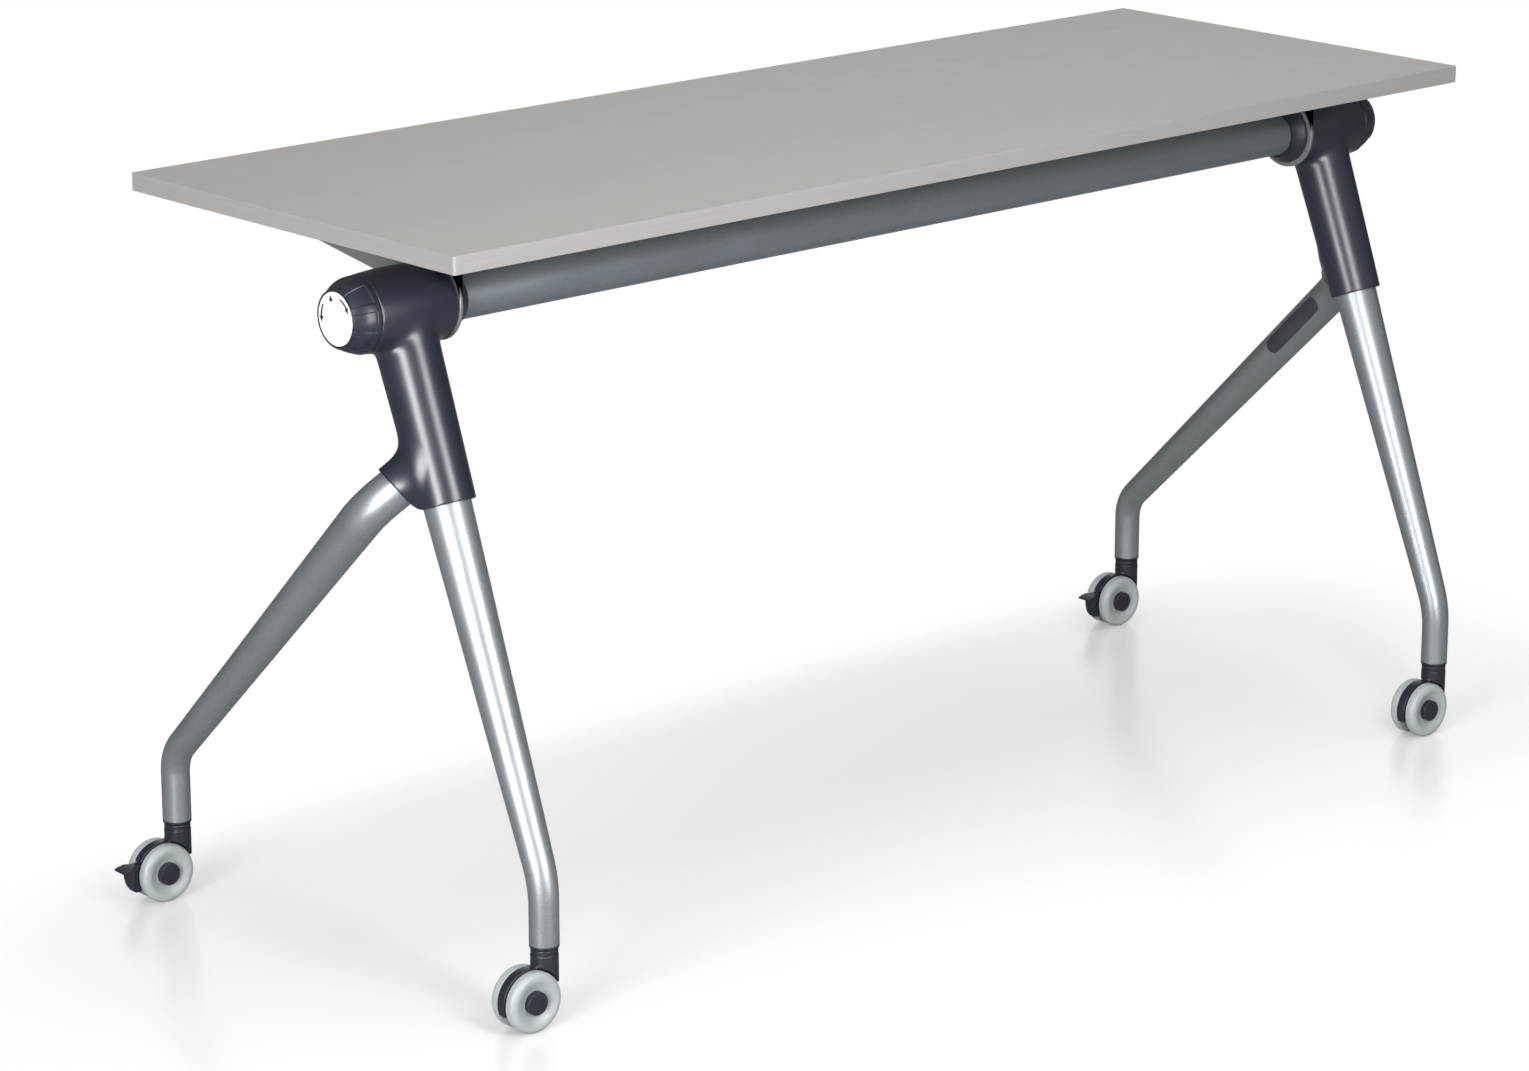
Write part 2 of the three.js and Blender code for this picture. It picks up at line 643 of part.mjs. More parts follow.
// Oval pad on the rear leg's inner face, shaped to the tube.
function legPad() {
  const down = rearKnee.clone().sub(rearTop).normalize();
  const middle = rearTop.clone().addScaledVector(down, PAD_DOWN);
  const reach = rearRadiusAt(slopeStart + PAD_DOWN) + PAD_THICKNESS;
  const [straight, round] = [(PAD_LENGTH - PAD_WIDTH) / 2, PAD_WIDTH / 2];
  const oval = new THREE.Shape();
  oval.absarc(straight, 0, round, -Math.PI / 2, Math.PI / 2, false);
  oval.absarc(-straight, 0, round, Math.PI / 2, (3 * Math.PI) / 2, false);
  const slab = new THREE.ExtrudeGeometry(oval, {
    depth: reach,
    bevelEnabled: false,
    curveSegments: 6,
  });
  const inward = new THREE.Vector3(-1, 0, 0).addScaledVector(down, down.x).normalize();
  const across = inward.clone().cross(down);
  const axes = new THREE.Matrix4().makeBasis(down, across, inward).setPosition(middle);
  const grown = (travelled) => opened(rearRadiusAt(travelled) + SEAT, TUBE_SIDES);
  return cut(slab.applyMatrix4(axes), swept(rearLine, grown, TUBE_SIDES));
}

// Locking plunger: cone, guide, square stem and the cross bar that rides on the knob's cam.
function lockPlunger() {
  const guide = turned(
    [
      [0, plungerIn - CONE_LENGTH],
      [CONE_TIP_RADIUS, plungerIn - CONE_LENGTH],
      [CONE_RADIUS, plungerIn],
      [bushRadius, plungerIn],
      [bushRadius, plungerOut],
      [0, plungerOut],
    ],
    INNER_SIDES,
    "x",
  );
  const half = STEM_WIDTH / 2;
  const stem = block([plungerOut - 1, -half, -half], [barOut, half, half]);
  const bar = block(
    [barIn, -BAR_LENGTH / 2, -BAR_WIDTH / 2],
    [barOut, BAR_LENGTH / 2, BAR_WIDTH / 2],
  );
  return join(guide, stem, bar);
}

// Helical spring between the plunger and the barrel's end wall.
function lockSpring() {
  const turnSteps = 8;
  const wire = SPRING_WIRE / 2;
  const from = plungerOut + SEAT + wire;
  const to = wallIn - SEAT - wire;
  const count = SPRING_TURNS * turnSteps;
  const rate = (to - from) / (2 * Math.PI * SPRING_TURNS * SPRING_RADIUS);
  const stations = Array.from({ length: count + 1 }, (_, i) => {
    const angle = (2 * Math.PI * i) / turnSteps;
    const [c, s] = [Math.cos(angle), Math.sin(angle)];
    const along = THREE.MathUtils.lerp(from, to, i / count);
    const point = new THREE.Vector3(along, SPRING_RADIUS * c, SPRING_RADIUS * s);
    return { point, tangent: new THREE.Vector3(rate, -s, c).normalize() };
  });
  return swept(stations, () => wire, 5);
}

// Hill of the knob's cam: a ramp on each side, so that either turn draws the lock back.
function camHill(turn) {
  const inner = camHole + 1;
  const outer = CAVITY_RADIUS + 1;
  const foot = Math.asin((BAR_WIDTH / 2 + RUN) / inner);
  const angles = [foot, foot + CAM_TURN, Math.PI - foot - CAM_TURN, Math.PI - foot];
  const heights = [0, LOCK_TRAVEL, LOCK_TRAVEL, 0];
  const legSteps = 3;
  const points = [];
  const index = [];
  for (let i = 0; i <= 3 * legSteps; i++) {
    const leg = Math.min(Math.floor(i / legSteps), 2);
    const t = i / legSteps - leg;
    const angle = THREE.MathUtils.lerp(angles[leg], angles[leg + 1], t) + turn;
    const top = camOut + THREE.MathUtils.lerp(heights[leg], heights[leg + 1], t);
    const [c, s] = [Math.cos(angle), Math.sin(angle)];
    points.push(camIn, inner * c, inner * s, top, inner * c, inner * s);
    points.push(top, outer * c, outer * s, camIn, outer * c, outer * s);
  }
  const last = 12 * legSteps;
  for (let i = 0; i < last; i += 4) {
    for (let k = 0; k < 4; k++) {
      const [a, b] = [i + k, i + ((k + 1) % 4)];
      index.push(a, b, b + 4, a, b + 4, a + 4);
    }
  }
  index.push(0, 2, 1, 0, 3, 2, last, last + 1, last + 2, last, last + 2, last + 3);
  const geometry = new THREE.BufferGeometry();
  geometry.setAttribute("position", new THREE.Float32BufferAttribute(points, 3));
  geometry.setIndex(index);
  return geometry;
}

// Knob: crowned shell with shallow grip panels, the cam plate inside and a recess for the disc.
function lockKnob() {
  const open = (radius) => opened(radius, ROUND_SIDES);
  const crown = (sink) =>
    [0, 0.45, 0.75, 1].map((t) => [
      THREE.MathUtils.lerp(BARREL_OUTER_RADIUS, KNOB_FACE_RADIUS, t ** KNOB_CROWN) - sink,
      THREE.MathUtils.lerp(knobIn, knobOut, t),
    ]);
  const profile = [
    [open(SPIGOT_RADIUS + RUN), knobIn],
    ...crown(0),
    [open(DISC_RADIUS + SEAT), knobOut],
    [open(DISC_RADIUS + SEAT), discIn - SEAT],
    [open(CAVITY_RADIUS), discIn - SEAT],
    [open(CAVITY_RADIUS), camOut],
    [open(camHole), camOut],
    [open(camHole), camIn],
    [open(SPIGOT_RADIUS + RUN), camIn],
  ];
  const shell = turned([...profile, profile[0]], ROUND_SIDES, "x");
  const sunk = crown(GRIP_DEPTH).filter((_, i) => i !== 1);
  const core = turned([[0, knobIn], ...sunk, [0, knobOut]], 2 * GRIP_PANELS, "x");
  const pitch = (2 * Math.PI) / GRIP_PANELS;
  const far = 2 * BARREL_OUTER_RADIUS;
  const half = far * Math.tan((pitch - GRIP_RIB) / 2);
  const panels = Array.from({ length: GRIP_PANELS }, (_, i) => {
    const wedge = new THREE.Shape([
      new THREE.Vector2(0, 0),
      new THREE.Vector2(far, -half),
      new THREE.Vector2(far, half),
    ]);
    const body = plateYZ(wedge, knobIn + GRIP_MARGIN, knobOut - GRIP_MARGIN, 1);
    return cut(body.rotateX(i * pitch), core);
  });
  return cut(join(shell, camHill(0), camHill(Math.PI)), ...panels);
}

const knobDisc = () => rod(DISC_RADIUS, discIn, knobOut, ROUND_SIDES, "x");

// Caster pieces, from the point on the floor under the swivel axis; the wheels trail along -X
const flangeTop = CASTER_HEIGHT - SEAT;
const flangeBottom = flangeTop - INSERT_FLANGE;
const neckTop = flangeBottom - RUN;
const wheelIn = WHEEL_GAP / 2;
const wheelOut = wheelIn + WHEEL_WIDTH;
const hubFloor = wheelOut - HUB_RECESS;
const atAxle = (geometry) => geometry.translate(-TRAIL, 0, WHEEL_RADIUS);
const atPivot = (geometry) => atAxle(geometry.translate(-PIVOT_BACK, 0, PIVOT_UP));

// Sleeve pressed into the leg's end, with the flange that shows under it.
function casterInsert() {
  const inside = opened(STEM_RADIUS + RUN, SMALL_SIDES);
  const sleeve = FOOT_RADIUS - TUBE_WALL - SEAT;
  const profile = [
    [inside, flangeBottom],
    [FOOT_RADIUS, flangeBottom],
    [FOOT_RADIUS, flangeTop],
    [sleeve, flangeTop],
    [sleeve, flangeBottom + INSERT_LENGTH],
    [inside, flangeBottom + INSERT_LENGTH],
  ];
  return turned([...profile, profile[0]], SMALL_SIDES, "z");
}

// Hood web round the axle: an arc from the front to the back with a boss at the middle.
function hoodWeb(width, radius, front, back) {
  const outline = new THREE.Shape();
  outline.absarc(0, 0, radius, front, back, false);
  outline.absarc(0, 0, BOSS_RADIUS, back, 2 * Math.PI + front, false);
  return atAxle(plateXZ(outline, width, 8));
}

// Hood for a brake: cut back for the pedal's forked hub, with a tongue that carries its pin.
function brakedHood() {
  const hubRoom = bore(PEDAL_HUB_RADIUS + 2 * RUN, -wheelIn, wheelIn, SMALL_SIDES, "y");
  const pinHole = bore(PIVOT_RADIUS + RUN, -wheelIn, wheelIn, SMALL_SIDES, "y");
  const web = cut(
    hoodWeb(HOOD_WIDTH, HOOD_RADIUS, HOOD_FRONT, BRAKED_HOOD_BACK),
    atPivot(hubRoom),
  );
  const tongue = new THREE.Shape();
  tongue.moveTo(0, 0);
  tongue.absarc(0, 0, HOOD_RADIUS - SEAT, BRAKED_HOOD_BACK - HOOD_FRONT, TONGUE_BACK, false);
  return cut(join(web, atAxle(plateXZ(tongue, TONGUE_WIDTH, 4))), atPivot(pinHole));
}

// Neck and stem on the swivel axis, with the hood between the wheels.
function casterHousing(hood) {
  const grooveFoot = neckTop - GROOVE_HEIGHT;
  const neck = turned(
    [
      [0, NECK_FOOT_HEIGHT],
      [NECK_RADIUS, NECK_FOOT_HEIGHT],
      [NECK_RADIUS, grooveFoot],
      [NECK_RADIUS - GROOVE_DEPTH, grooveFoot + GROOVE_HEIGHT / 2],
      [NECK_RADIUS, neckTop],
      [STEM_RADIUS, neckTop],
      [STEM_RADIUS, neckTop + STEM_LENGTH],
      [0, neckTop + STEM_LENGTH],
    ],
    TUBE_SIDES,
    "z",
  );
  const room = WHEEL_RADIUS + WHEEL_CLEARANCE;
  const wheelRoom = bore(room, HOOD_WIDTH / 2, 2 * wheelOut, WHEEL_SIDES, "y");
  const otherRoom = wheelRoom.clone().rotateZ(Math.PI);
  const axleHole = bore(AXLE_RADIUS + SEAT, -wheelIn, wheelIn, SMALL_SIDES, "y");
  return cut(join(neck, hood), atAxle(wheelRoom), atAxle(otherRoom), atAxle(axleHole));
}

// Pedal: leaf and claw in side view, trimmed to the leaf's plan and forked over the tongue.
function brakePedal() {
  const hub = PEDAL_HUB_RADIUS;
  const [hubFrom, hubTo] = [-60, 100].map(THREE.MathUtils.degToRad);
  const endZ = LEAF_RISE - LEAF_THICKNESS;
  const side = new THREE.Shape();
  side.absarc(0, 0, hub, hubFrom, hubTo, false);
  side.quadraticCurveTo(-0.4 * LEAF_REACH, LEAF_ARCH, -LEAF_REACH, LEAF_RISE);
  side.lineTo(-LEAF_REACH, endZ);
  side.quadraticCurveTo(-(LEAF_REACH + CLAW_BACK) / 2, LEAF_RISE, -CLAW_BACK, endZ);
  side.quadraticCurveTo(-CLAW_BACK, -0.7 * CLAW_DROP, -hub - 2 * CLAW_TIP, -CLAW_DROP);
  side.lineTo(-hub, -CLAW_DROP);
  side.quadraticCurveTo(-hub, -hub, hub * Math.cos(hubFrom), hub * Math.sin(hubFrom));

  const [narrow, wide] = [PEDAL_WIDTH / 2, LEAF_WIDTH / 2];
  const root = PIVOT_BACK - WHEEL_RADIUS - 2 * WHEEL_CLEARANCE;
  const spread = root - (wide - narrow);
  const plan = new THREE.Shape();
  plan.moveTo(2 * hub, -narrow);
  plan.lineTo(2 * hub, narrow);
  plan.lineTo(root, narrow);
  plan.lineTo(spread, wide);
  plan.lineTo(-LEAF_REACH + LEAF_CORNER, wide);
  plan.quadraticCurveTo(-LEAF_REACH, wide, -LEAF_REACH, wide - LEAF_CORNER);
  plan.lineTo(-LEAF_REACH, LEAF_CORNER - wide);
  plan.quadraticCurveTo(-LEAF_REACH, -wide, -LEAF_REACH + LEAF_CORNER, -wide);
  plan.lineTo(spread, -wide);
  plan.lineTo(root, -narrow);
  const depth = 4 * CLAW_DROP;
  const mask = new THREE.ExtrudeGeometry(plan, { depth, bevelEnabled: false, curveSegments: 2 });
  const blade = common(plateXZ(side, LEAF_WIDTH, 4), mask.translate(0, 0, -depth / 2));

  const halfSlot = TONGUE_WIDTH / 2 + RUN;
  const slot = bore(HOOD_RADIUS + FORK_CLEARANCE, -halfSlot, halfSlot, WHEEL_SIDES, "y");
  const pin = rod(PIVOT_RADIUS, -narrow, narrow, SMALL_SIDES, "y");
  return atPivot(join(cut(blade, slot.translate(PIVOT_BACK, 0, -PIVOT_UP)), pin));
}

function casterAxle() {
  const half = hubFloor - SEAT;
  return atAxle(rod(AXLE_RADIUS, -half, half, SMALL_SIDES, "y"));
}

// Wheel with rounded rims and a dished face; a flat of the tread stands on the floor.
function casterWheel() {
  const tread = opened(WHEEL_RADIUS, WHEEL_SIDES);
  const rim = tread - WHEEL_ROUND;
  const soft = WHEEL_ROUND * Math.SQRT1_2;
  const inside = opened(AXLE_RADIUS + RUN, WHEEL_SIDES);
  const pocket = opened(CAP_RADIUS + SEAT, WHEEL_SIDES);
  const profile = [
    [inside, wheelIn],
    [tread, wheelIn],
    [tread, wheelOut - WHEEL_ROUND],
    [rim + soft, wheelOut - WHEEL_ROUND + soft],
    [rim, wheelOut],
    [pocket, wheelOut - WHEEL_DISH],
    [pocket, hubFloor],
    [inside, hubFloor],
  ];
  return turned([...profile, profile[0]], WHEEL_SIDES, "y").rotateY(Math.PI / WHEEL_SIDES);
}

function hubCap() {
  const face = wheelOut + CAP_PROUD;
  const profile = [
    [0, hubFloor + SEAT],
    [CAP_RADIUS, hubFloor + SEAT],
    [CAP_RADIUS, face - CAP_EDGE],
    [CAP_RADIUS - CAP_EDGE, face],
    [0, face],
  ];
  return turned(profile, SMALL_SIDES, "y");
}

function makeCaster(parent, place, at, braked) {
  const caster = new THREE.Group();
  caster.position.set(at.x, at.y, 0);
  caster.rotation.z = CASTER_YAW;
  parent.add(caster);
  const hood = braked ? brakedHood() : hoodWeb(HOOD_WIDTH, HOOD_RADIUS, HOOD_FRONT, HOOD_BACK);
  piece(caster, `caster_insert_${place}`, casterInsert(), darkPlastic());
  piece(caster, `caster_housing_${place}`, casterHousing(hood), darkPlastic());
  piece(caster, `caster_axle_${place}`, casterAxle(), brightSteel());
  if (braked) piece(caster, `brake_pedal_${place}`, brakePedal(), darkPlastic());
  for (const [side, turn] of [["aft", 0], ["fore", Math.PI]]) {
    const wheel = atAxle(casterWheel().rotateZ(turn));
    piece(caster, `wheel_${side}_${place}`, wheel, paleTyre());
    piece(caster, `hub_cap_${side}_${place}`, atAxle(hubCap().rotateZ(turn)), darkPlastic());
  }
}

// Pieces of one end of the table, mirrored for the other
const endPieces = {
  head: [headCasting(), anthracite],
  head_bush: [headBush(), darkPlastic],
  support_arm: [supportArm(), greyPaint],
  beam_plug: [beamPlug(), brightSteel],
  beam_collar: [beamCollar(), darkPlastic],
  lock_plunger: [lockPlunger(), brightSteel],
  lock_spring: [lockSpring(), brightSteel],
  lock_knob: [lockKnob(), anthracite],
  knob_disc: [knobDisc(), whitePlastic],
  front_leg: [frontLeg(), silverPaint],
  rear_leg: [rearLeg(), silverPaint],
  leg_pad: [legPad(), darkPlastic],
};

const table = new THREE.Group();
makeTop(table);
const beam = piece(table, "beam_tube", beamTube(), greyPaint());
beam.position.set(0, axisY, axisHeight);
for (const [place, outwards] of [["left", -1], ["right", 1]]) {
  const end = new THREE.Group();
  end.position.set(0, axisY, axisHeight);
  end.scale.x = outwards;
  table.add(end);
  for (const [name, [geometry, material]] of Object.entries(endPieces)) {
    piece(end, `${name}_${place}`, geometry, material());
  }
  const above = (foot) => new THREE.Vector3(outwards * foot.x, axisY + foot.y, 0);
  makeCaster(table, `front_${place}`, above(frontFoot), false);
  makeCaster(table, `rear_${place}`, above(rearFoot), true);
}

const box = new THREE.Box3().setFromObject(table, true);
const middle = box.getCenter(new THREE.Vector3());
table.position.set(-middle.x, -middle.y, -box.min.z);

export default table;
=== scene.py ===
# %% [markdown]
# # A flip top training table
# The table is a grey laminate panel on a cross beam. The beam turns in two dark castings, each of which
# holds a front and a rear leg on casters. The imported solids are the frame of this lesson: every new piece
# takes its place from them and rides on one of their bodies, so the table still folds when it is dressed.

# %% Load the frame
import json

import bmesh
import bpy
import numpy as np
from mathutils import Matrix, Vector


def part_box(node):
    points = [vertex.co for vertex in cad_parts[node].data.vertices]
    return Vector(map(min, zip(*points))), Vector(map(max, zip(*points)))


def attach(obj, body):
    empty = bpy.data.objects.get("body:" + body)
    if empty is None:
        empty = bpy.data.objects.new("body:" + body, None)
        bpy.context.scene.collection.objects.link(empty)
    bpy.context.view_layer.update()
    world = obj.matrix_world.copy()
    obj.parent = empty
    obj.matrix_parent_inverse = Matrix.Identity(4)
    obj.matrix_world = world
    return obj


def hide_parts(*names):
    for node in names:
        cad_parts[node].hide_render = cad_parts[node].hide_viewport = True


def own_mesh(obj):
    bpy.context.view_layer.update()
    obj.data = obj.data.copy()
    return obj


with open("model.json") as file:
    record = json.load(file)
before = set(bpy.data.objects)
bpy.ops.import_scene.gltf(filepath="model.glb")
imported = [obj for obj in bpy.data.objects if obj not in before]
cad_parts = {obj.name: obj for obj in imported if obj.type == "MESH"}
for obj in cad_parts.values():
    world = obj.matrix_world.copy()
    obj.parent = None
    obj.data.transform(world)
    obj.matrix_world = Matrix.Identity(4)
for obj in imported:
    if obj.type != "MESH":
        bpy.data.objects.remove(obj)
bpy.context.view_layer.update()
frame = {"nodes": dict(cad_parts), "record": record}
nodes = frame["nodes"]

# %% [markdown]
# ## Where things are
# The drawing of this table is symmetric about the middle of the panel, so the lesson works in millimetres
# from there: +X along the table, +Y towards the sitter, Z up from the floor. The panel's and the beam's
# boxes say where that point and the flip axis lie in the frame.

# %% Middle of the panel and flip axis
MM = 0.001
SEAT = 0.3  # gap between pieces that sit on or in each other, in millimetres


def node_box(name):
    """Lowest and highest corner of a CAD node as arrays, in metres."""
    return np.array([list(corner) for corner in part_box(name)])


def span_x(name):
    """First and last X of a node of the right end, in millimetres from the middle of the panel."""
    return (node_box(name)[:, 0] - MIDDLE[0]) / MM


panel_box = node_box("table_top")
MIDDLE = np.append(panel_box.mean(axis=0)[:2], 0.0)
beam_middle = (node_box("beam_tube").mean(axis=0) - MIDDLE) / MM
AXIS_Y, AXIS_Z = beam_middle[1], beam_middle[2]
TABLE_HEIGHT = panel_box[1][2] / MM
print("flip axis at y %.1f z %.1f, table height %.1f mm" % (AXIS_Y, AXIS_Z, TABLE_HEIGHT))

# %% [markdown]
# ## The camera
# The photograph was taken from in front of the left end and a little above the panel. A long lens keeps the
# table's edges almost parallel; the small shift puts the table where it stands in the picture.

# %% Camera
IMAGE_WIDTH = 1529
FOCAL_PIXELS = 4686.5
CAMERA_PLACE = np.array([-3262.8, -3468.9, 1667.4])
CAMERA_AZIMUTH, CAMERA_ELEVATION, CAMERA_ROLL = np.radians([-42.8, 16.16, 0.12])
SHIFT_PIXELS = -31.1


def camera_axes(azimuth, elevation, roll):
    """Right, up and backward unit vectors of a camera that looks along +Y at azimuth 0, as columns."""
    flat = np.cos(elevation)
    back = np.array([np.sin(azimuth) * flat, -np.cos(azimuth) * flat, np.sin(elevation)])
    right = np.array([np.cos(azimuth), np.sin(azimuth), 0.0])
    up = np.cross(back, right)
    turned_right = np.cos(roll) * right + np.sin(roll) * up
    return np.stack([turned_right, np.cross(back, turned_right), back], axis=1)


def pose_matrix(place, axes):
    """Four by four matrix with the axes as columns and the place, in millimetres, as its last one."""
    matrix = np.eye(4)
    matrix[:3, :3] = axes
    matrix[:3, 3] = MIDDLE + np.asarray(place) * MM
    return matrix.tolist()


lens = bpy.data.cameras.new("camera")
lens.sensor_width = 36.0
lens.lens = FOCAL_PIXELS / IMAGE_WIDTH * lens.sensor_width
lens.shift_x = SHIFT_PIXELS / IMAGE_WIDTH
lens.clip_end = 50.0
camera = bpy.data.objects.new("camera", lens)
bpy.context.scene.collection.objects.link(camera)
camera_turn = camera_axes(CAMERA_AZIMUTH, CAMERA_ELEVATION, CAMERA_ROLL)
camera.matrix_world = Matrix(pose_matrix(CAMERA_PLACE, camera_turn))
bpy.context.scene.camera = camera
bpy.context.scene.view_settings.view_transform = "Standard"
print("lens %.1f mm" % lens.lens)

# %% [markdown]
# ## Node helpers
# Every finish is a small node tree. Writing trees by hand is long, so one helper adds a node, sets its
# fields and joins or fills its inputs by name.

# %% Node helpers
def srgb(red, green, blue):
    """Linear colour of an 8-bit display colour: the display curve is undone channel by channel."""
    c = np.array([red, green, blue]) / 255.0
    linear = np.where(c <= 0.04045, c / 12.92, ((c + 0.055) / 1.055) ** 2.4)
    return (*linear.tolist(), 1.0)


def add_node(tree, kind, inputs=(), **fields):
    """New node of a kind. Fields are set on the node; inputs are (socket, value or other socket) pairs."""
    made = tree.nodes.new(kind)
    for field, value in fields.items():
        setattr(made, field, value)
    for socket, value in inputs:
        if isinstance(value, bpy.types.NodeSocket):
            tree.links.new(value, made.inputs[socket])
        else:
            made.inputs[socket].default_value = value
    return made


def calculated(tree, operation, a, b, kind="ShaderNodeMath", output=0):
    """Result of a math node on two values or sockets."""
    return add_node(tree, kind, [(0, a), (1, b)], operation=operation).outputs[output]


def map_range(tree, value, source=(0.0, 1.0), target=(0.0, 1.0), smooth=False):
    """Value carried from one range to another, evenly or by a smooth step."""
    inputs = zip(("Value", "From Min", "From Max", "To Min", "To Max"), (value, *source, *target))
    kind = "SMOOTHSTEP" if smooth else "LINEAR"
    return add_node(tree, "ShaderNodeMapRange", inputs, interpolation_type=kind).outputs[0]


def shader_group(name, inputs, outputs):
    """Empty shader group with named sockets, and its input and output nodes."""
    tree = bpy.data.node_groups.new(name, "ShaderNodeTree")
    for label, kind, value in inputs:
        socket = tree.interface.new_socket(label, in_out="INPUT", socket_type=kind)
        socket.default_value = value
    for label, kind in outputs:
        tree.interface.new_socket(label, in_out="OUTPUT", socket_type=kind)
    return tree, tree.nodes.new("NodeGroupInput"), tree.nodes.new("NodeGroupOutput")


# %% [markdown]
# ## Three surface effects
# No surface of a real table is one flat colour. Three groups give the small differences: *streaks* is fine
# grain drawn out along one direction, *peel* is the faint waviness of sprayed paint and moulded plastic, and
# *flakes* is the sparkle of metallic powder coat, where each tiny cell lies at its own angle.

# %% Streaks, peel and flakes
VECTOR, FLOAT, VECTOR_MATH = "NodeSocketVector", "NodeSocketFloat", "ShaderNodeVectorMath"
NOISE_RANGE = (0.3, 0.7)  # where nearly all of a noise lies


def make_streaks():
    """Noise of object coordinates multiplied per axis: a small factor draws the grain out that way."""
    tree, given, result = shader_group(
        "streaks",
        [("Vector", VECTOR, (0, 0, 0)), ("Stretch", VECTOR, (60, 1500, 1500)), ("Detail", FLOAT, 4.0)],
        [("Mask", FLOAT)],
    )
    vector, stretch, detail = given.outputs[:3]
    drawn = calculated(tree, "MULTIPLY", vector, stretch, VECTOR_MATH)
    noise = add_node(tree, "ShaderNodeTexNoise", [("Vector", drawn), ("Scale", 1.0), ("Detail", detail)])
    tree.links.new(map_range(tree, noise.outputs["Fac"], NOISE_RANGE), result.inputs["Mask"])
    return tree


def make_peel():
    """Two noises of object coordinates, one wide and one fine, as a mask and as a height."""
    tree, given, result = shader_group(
        "peel",
        [("Vector", VECTOR, (0, 0, 0)), ("Wide", FLOAT, 30.0), ("Fine", FLOAT, 900.0)],
        [("Mask", FLOAT), ("Height", FLOAT)],
    )
    for scale, output in (("Wide", "Mask"), ("Fine", "Height")):
        inputs = [("Vector", given.outputs["Vector"]), ("Scale", given.outputs[scale])]
        noise = add_node(tree, "ShaderNodeTexNoise", inputs)
        tree.links.new(noise.outputs["Fac"], result.inputs[output])
    return tree


def make_flakes():
    """Random value of each small cell of object coordinates, raised so that only a few cells are bright."""
    tree, given, result = shader_group(
        "flakes", [("Vector", VECTOR, (0, 0, 0)), ("Scale", FLOAT, 2500.0)], [("Mask", FLOAT)]
    )
    inputs = [("Vector", given.outputs["Vector"]), ("Scale", given.outputs["Scale"])]
    cells = add_node(tree, "ShaderNodeTexVoronoi", inputs)
    grey = add_node(tree, "ShaderNodeRGBToBW", [(0, cells.outputs["Color"])])
    tree.links.new(calculated(tree, "POWER", grey.outputs[0], 2.0), result.inputs["Mask"])
    return tree


STREAKS, PEEL, FLAKES = make_streaks(), make_peel(), make_flakes()
print("groups:", [group.name for group in (STREAKS, PEEL, FLAKES)])

# %% [markdown]
# ## Finishes
# A finish mixes two near colours by one of the masks, lets roughness follow the peel, and adds the fine
# height as a bump. Constants that don't change over the surface sit on the shader's own sockets.

# %% Finish builder
def place_group(tree, group, coordinates, **values):
    """The group as a node in a material's tree, fed with object coordinates and its own values."""
    made = add_node(tree, "ShaderNodeGroup", node_tree=group)
    tree.links.new(coordinates, made.inputs["Vector"])
    for label, value in values.items():
        made.inputs[label].default_value = value
    return made


def mixed_colour(tree, mask, dark, light):
    """Colour between dark and light, by a mask."""
    made = add_node(tree, "ShaderNodeMix", data_type="RGBA")
    tree.links.new(mask, made.inputs["Factor"])
    made.inputs["A"].default_value = dark
    made.inputs["B"].default_value = light
    return next(s for s in made.outputs if s.type == "RGBA")


def new_finish(name, **shader_values):
    """Material with a Principled shader whose plain values are set, its tree, shader and coordinates."""
    material = bpy.data.materials.new(name)
    material.use_nodes = True
    tree = material.node_tree
    shader = tree.nodes["Principled BSDF"]
    for socket, value in shader_values.items():
        shader.inputs[socket.replace("_", " ")].default_value = value
    coordinates = add_node(tree, "ShaderNodeTexCoord").outputs["Object"]
    return material, tree, shader, coordinates


def add_gloss(tree, shader, coordinates, gloss, bump, wide, fine):
    """Roughness between two values by the wide peel, and a bump of a height in metres by the fine one."""
    peel = place_group(tree, PEEL, coordinates, Wide=wide, Fine=fine)
    rough = map_range(tree, peel.outputs["Mask"], NOISE_RANGE, gloss, smooth=True)
    tree.links.new(rough, shader.inputs["Roughness"])
    raised = add_node(tree, "ShaderNodeBump", [("Height", peel.outputs["Height"]), ("Distance", bump)])
    tree.links.new(raised.outputs[0], shader.inputs["Normal"])
    return peel


def coat(name, dark, light, gloss, bump, stretch=None, flakes=None, wide=30.0, fine=900.0, **shader_values):
    """Finish between two display colours by streaks, by flakes or else by the wide peel of its gloss."""
    material, tree, shader, coordinates = new_finish(name, **shader_values)
    effect = add_gloss(tree, shader, coordinates, gloss, bump, wide, fine)
    if stretch:
        effect = place_group(tree, STREAKS, coordinates, Stretch=stretch)
    elif flakes:
        effect = place_group(tree, FLAKES, coordinates, Scale=flakes)
    colour = mixed_colour(tree, effect.outputs["Mask"], srgb(*dark), srgb(*light))
    tree.links.new(colour, shader.inputs["Base Color"])
    return material
